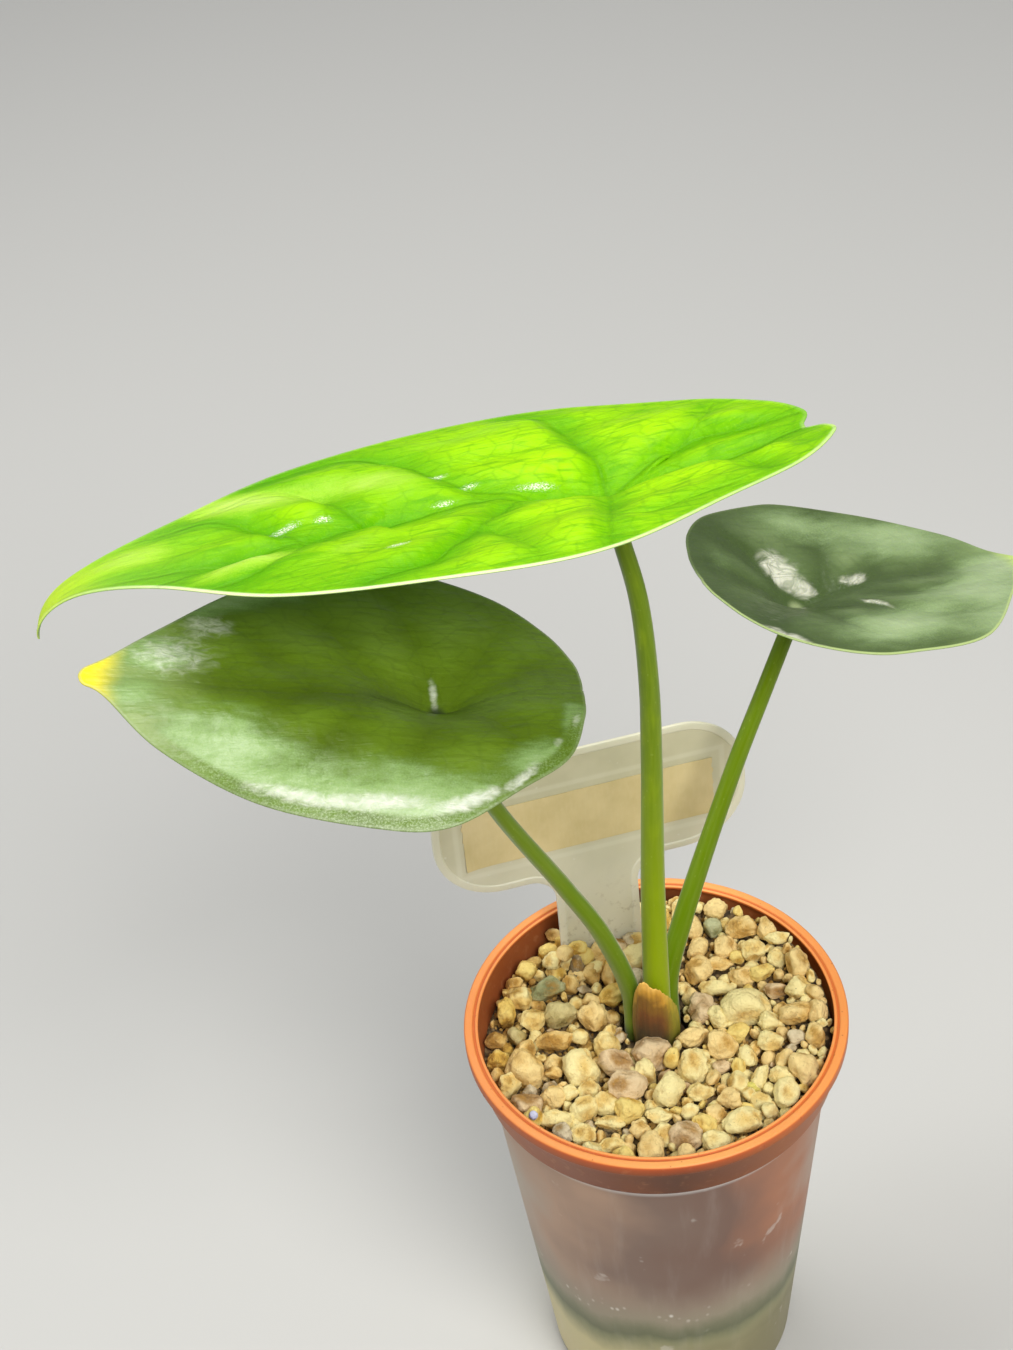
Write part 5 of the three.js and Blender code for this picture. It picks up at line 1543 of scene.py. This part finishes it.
def water_piece(material):
    """Water in the cup's foot, with a low meniscus, just off the wall."""
    low = CUP_WALL + 0.05
    wall = 0.06
    level = WATER_LEVEL - 0.15
    profile = [
        (0, low), (cup_inside(0) - CUP_FOOT_FILLET, low),
        (cup_inside(CUP_FOOT_FILLET + low) - wall, CUP_FOOT_FILLET + low),
        (cup_inside(WATER_LEVEL) - wall, WATER_LEVEL + 0.3),
        (cup_inside(WATER_LEVEL) - 1.4, level), (0, level),
    ]
    turned_piece("water", profile, 0.3, 128, material, "reservoir_water")


def water_material():
    s = Shader("green_water", (0.46, 0.55, 0.24))
    s.paint((0.62, 0.66, 0.36), s.noise(90), 0.35, 0.7)
    return s.finish(0.08, Transmission_Weight=0.5, IOR=1.33)


# Plant label


def place_on_label(points):
    """Stands points drawn in the label's plane (front towards +Z) in their place in the pot."""
    return points @ LABEL_AXES.T + LABEL_PLACE


def arc(x, y, radius, start, end, steps=14):
    angles = np.radians(np.linspace(start, end, steps))
    return np.stack([x + radius * np.cos(angles), y + radius * np.sin(angles)], -1)


def label_outline(inset):
    """The tee shape, drawn in by inset on all sides."""
    corner, fillet = LABEL["corner"], LABEL["fillet"]
    half, stem = LABEL["head_width"] / 2, LABEL["stem_width"] / 2
    shoulder = -LABEL["stem_length"] + LABEL["tip_length"]
    right = np.concatenate([
        [[stem - inset, shoulder], [stem - inset, LABEL["stem_middle"]]],
        arc(stem + fillet, -fillet, fillet + inset, 180, 90),
        arc(half - corner, corner, corner - inset, -90, 0),
        arc(half - corner, LABEL["head_height"] - corner, corner - inset, 0, 90),
    ])
    tip = [[0.0, -LABEL["stem_length"] + LABEL["tip_inset"] * inset]]
    return np.concatenate([tip, right, right[::-1] * (-1, 1)])


def label_piece(material):
    """A tee-shaped tag with a raised border on both faces."""
    half = LABEL["thickness"] / 2
    front = [
        (0, half - 0.25), (0.08, half - 0.08), (0.3, half), (1.35, half),
        (1.6, half - LABEL["border"]), (1.9, half - LABEL["border"]),
    ]
    steps = [*[(inset, -height) for inset, height in front[::-1]], *front]
    rings = []
    for inset, height in steps:
        outline = label_outline(inset)
        rings.append(np.column_stack([outline, np.full(len(outline), height)]))
    flat = np.concatenate(rings)
    wide = len(rings[0])
    faces = faces_of_ids(ring_ids(len(rings), wide))
    faces += [list(range(wide))[::-1], list(range(len(flat) - wide, len(flat)))]
    values = {"plate": flat, "inset": np.repeat([inset for inset, _ in steps], wide)}
    shape = place_on_label(flat), faces
    label = add_piece("plant_label", shape, material, "label", values)
    label.data.set_sharp_from_angle(angle=math.radians(35))


def label_material():
    """Milky plastic with a paler border, splashes of dirt low on the head and fine scratches."""
    s = Shader("milky_plastic", (0.55, 0.52, 0.35))
    plate = s.vector("plate")
    x, y = s.part(plate, 0), s.part(plate, 1)
    cloud = s.noise(0.08, 4, at=plate)
    s.paint((0.64, 0.60, 0.42), cloud, 0.3, 0.7)
    s.paint((0.92, 0.90, 0.76), s.value("inset"), 1.45, 1.7, 0.38, 0)
    beside = abs(x) - FRAME_LINE["half_width"]
    over = abs(y - FRAME_LINE["middle"]) - FRAME_LINE["half_height"]
    s.paint((0.88, 0.86, 0.70), abs(beside.at_least(over)), 0.2, 0.8, 0.22, 0)
    s.paint((0.90, 0.88, 0.76), y, -6, 20, 0.42, 0)
    dirt = s.noise(0.55, 5, 0.7, at=plate).spread(0.54, 0.68)
    s.paint((0.30, 0.24, 0.14), dirt * y.spread(-22, 3, 0.55, 0))
    s.paint((0.86, 0.85, 0.80), s.cells(0.35, at=plate), 0.05, 0.13, 0.3, 0)
    s.bump(s.noise(1.2, at=plate, squeeze=(0.06, 1, 1)), 0.03, 0.4)
    return s.finish(
        cloud.spread(0.3, 0.7, 0.38, 0.5), IOR=1.4, Transmission_Weight=0.12,
        Subsurface_Weight=0.25, Subsurface_Scale=0.002, Subsurface_Radius=(1.0, 0.95, 0.8),
    )


def tape_piece(material, columns=160, rows=24):
    """A strip of tape on the label's field: edges cut a little unevenly, one corner lifting."""
    left, right, bottom, top = (TAPE[key] for key in ("left", "right", "bottom", "top"))
    y, x = np.meshgrid(
        np.linspace(bottom, top, rows + 1), np.linspace(left, right, columns + 1), indexing="ij",
    )
    across = (y - bottom) / (top - bottom)
    end = (x - left) / (right - left)
    ragged = 0.12 * ripple(y, 0 * y, 1.1, 4) + 0.05 * np.sin(y * 9)
    x = x + ragged * np.where(end < 0.5, (1 - 2 * end) ** 8, -(2 * end - 1) ** 8)
    y = y + 0.05 * ripple(x, y, 30, 9) * (2 * across - 1)
    blister = 0.05 * np.clip(ripple(x, y, 9, 12), 0, 2)
    lifting = 0.5 * np.clip(1 - np.hypot(x - left, y - bottom) / 5, 0, 1) ** 2
    low = LABEL["thickness"] / 2 - LABEL["border"] + 0.03 + blister + lifting
    flat, faces = slab(np.stack([x, y, low + TAPE["thickness"]], -1), np.stack([x, y, low], -1))
    shape = place_on_label(flat), faces
    tape = add_piece("blank_tape", shape, material, "label_tape", {"plate": flat})
    tape.data.set_sharp_from_angle(angle=math.radians(40))


def tape_material():
    s = Shader("paper_tape", (0.59, 0.475, 0.225))
    plate = s.vector("plate")
    fibres = s.noise(1.6, 5, at=plate, squeeze=(1, 0.25, 1))
    s.paint((0.70, 0.57, 0.30), s.noise(0.1, 4, at=plate), 0.3, 0.7)
    s.paint((0.76, 0.66, 0.42), fibres, 0.4, 0.7, 0, 0.10)
    s.bump(fibres, 0.04, 0.6)
    return s.finish(0.68)


# Rootstock, hidden in the gravel


def corm_material():
    s = Shader("corm_skin", (0.12, 0.07, 0.035))
    fibres = s.noise(500, 4, squeeze=(1, 1, 0.2))
    s.paint((0.36, 0.25, 0.14), fibres, 0.35, 0.7)
    s.bump(fibres, 0.4, 0.7)
    return s.finish(0.85)


# Floor, light and camera

# Lamps: name, place in metres, size, power and colour
LAMPS = [
    ("key", (0.28, -0.66, 0.96), 0.6, 11.5, (1.0, 0.985, 0.94)),
    ("overhead", (-0.12, 0.34, 0.90), 0.5, 4.5, (1.0, 1.0, 0.97)),
    ("side", (-0.90, -0.10, 0.50), 0.6, 2.2, (0.97, 0.99, 1.0)),
]
LAMP_AIM = (0.0, 0.0, 0.13)
SKY_STRENGTH = 0.30
FLOOR_SIZE = 6.0
FLOOR_DROP_MM = 0.02


def studio():
    """Pale floor, three soft round lamps and a pale sky."""
    mesh = bpy.data.meshes.new("floor")
    corners = [(-1, -1), (1, -1), (1, 1), (-1, 1)]
    mesh.from_pydata([(x * FLOOR_SIZE, y * FLOOR_SIZE, 0) for x, y in corners], [], [(0, 1, 2, 3)])
    mesh.materials.append(Shader("floor_paint", (0.52, 0.515, 0.50)).finish(0.8))
    floor = bpy.data.objects.new("floor", mesh)
    floor.location.z = -FLOOR_DROP_MM * MM
    scene.collection.objects.link(floor)
    for name, place, size, power, colour in LAMPS:
        lamp = bpy.data.lights.new(name, "AREA")
        lamp.shape = "DISK"
        lamp.size = size
        lamp.energy = power
        lamp.color = colour
        holder = bpy.data.objects.new(name, lamp)
        holder.location = place
        aim = Vector(place) - Vector(LAMP_AIM)
        holder.rotation_euler = aim.to_track_quat("Z", "Y").to_euler()
        scene.collection.objects.link(holder)
    world = bpy.data.worlds.new("sky")
    world.use_nodes = True
    sky = world.node_tree.nodes["Background"]
    sky.inputs["Color"].default_value = (0.95, 0.97, 1.0, 1.0)
    sky.inputs["Strength"].default_value = SKY_STRENGTH
    scene.world = world
    scene.view_settings.view_transform = "Standard"


def camera():
    data = bpy.data.cameras.new("photo_camera")
    data.lens = LENS_MM
    data.sensor_width = 36.0
    data.clip_start = 0.01
    holder = bpy.data.objects.new("photo_camera", data)
    rows = zip(CAMERA_RIGHT, CAMERA_UP, CAMERA_BACK, CAMERA_PLACE)
    holder.matrix_world = Matrix((*rows, (0, 0, 0, 1)))
    scene.collection.objects.link(holder)
    scene.camera = holder


camera()
studio()
blade_piece("1", blade_material("young_leaf", YOUNG_LOOK), per_row=30, columns=54)
blade_piece("2", blade_material("dark_leaf", DARK_LOOK))
blade_piece("3", blade_material("green_leaf", GREEN_LOOK))
BRIGHT = stalk_material("stalk_bright", (0.29, 0.40, 0.0), (0.13, 0.21, 0.0), (0.26, 0.35, 0.02))
STALK = stalk_material("stalk_green", (0.13, 0.23, 0.0), (0.13, 0.21, 0.0), (0.22, 0.31, 0.04))
stalk_piece("1", BRIGHT)
stalk_piece("2", STALK)
stalk_piece("3", STALK)
sheath_piece(sheath_material())
LARGE = [clear_of_label(place) for place in large_grains()]
SMALL = [clear_of_label(place) for place in small_grains(LARGE)]
sort_stones(LARGE, SMALL)
gravel_pieces([*LARGE, *SMALL])
bed_piece()
grit_piece(bpy.data.materials["stone_tan"])
pot_piece(pot_material())
cup_piece(cup_material())
water_piece(water_material())
label_piece(label_material())
tape_piece(tape_material())
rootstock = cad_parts["rootstock"]
rootstock.data.materials.clear()
rootstock.data.materials.append(corm_material())
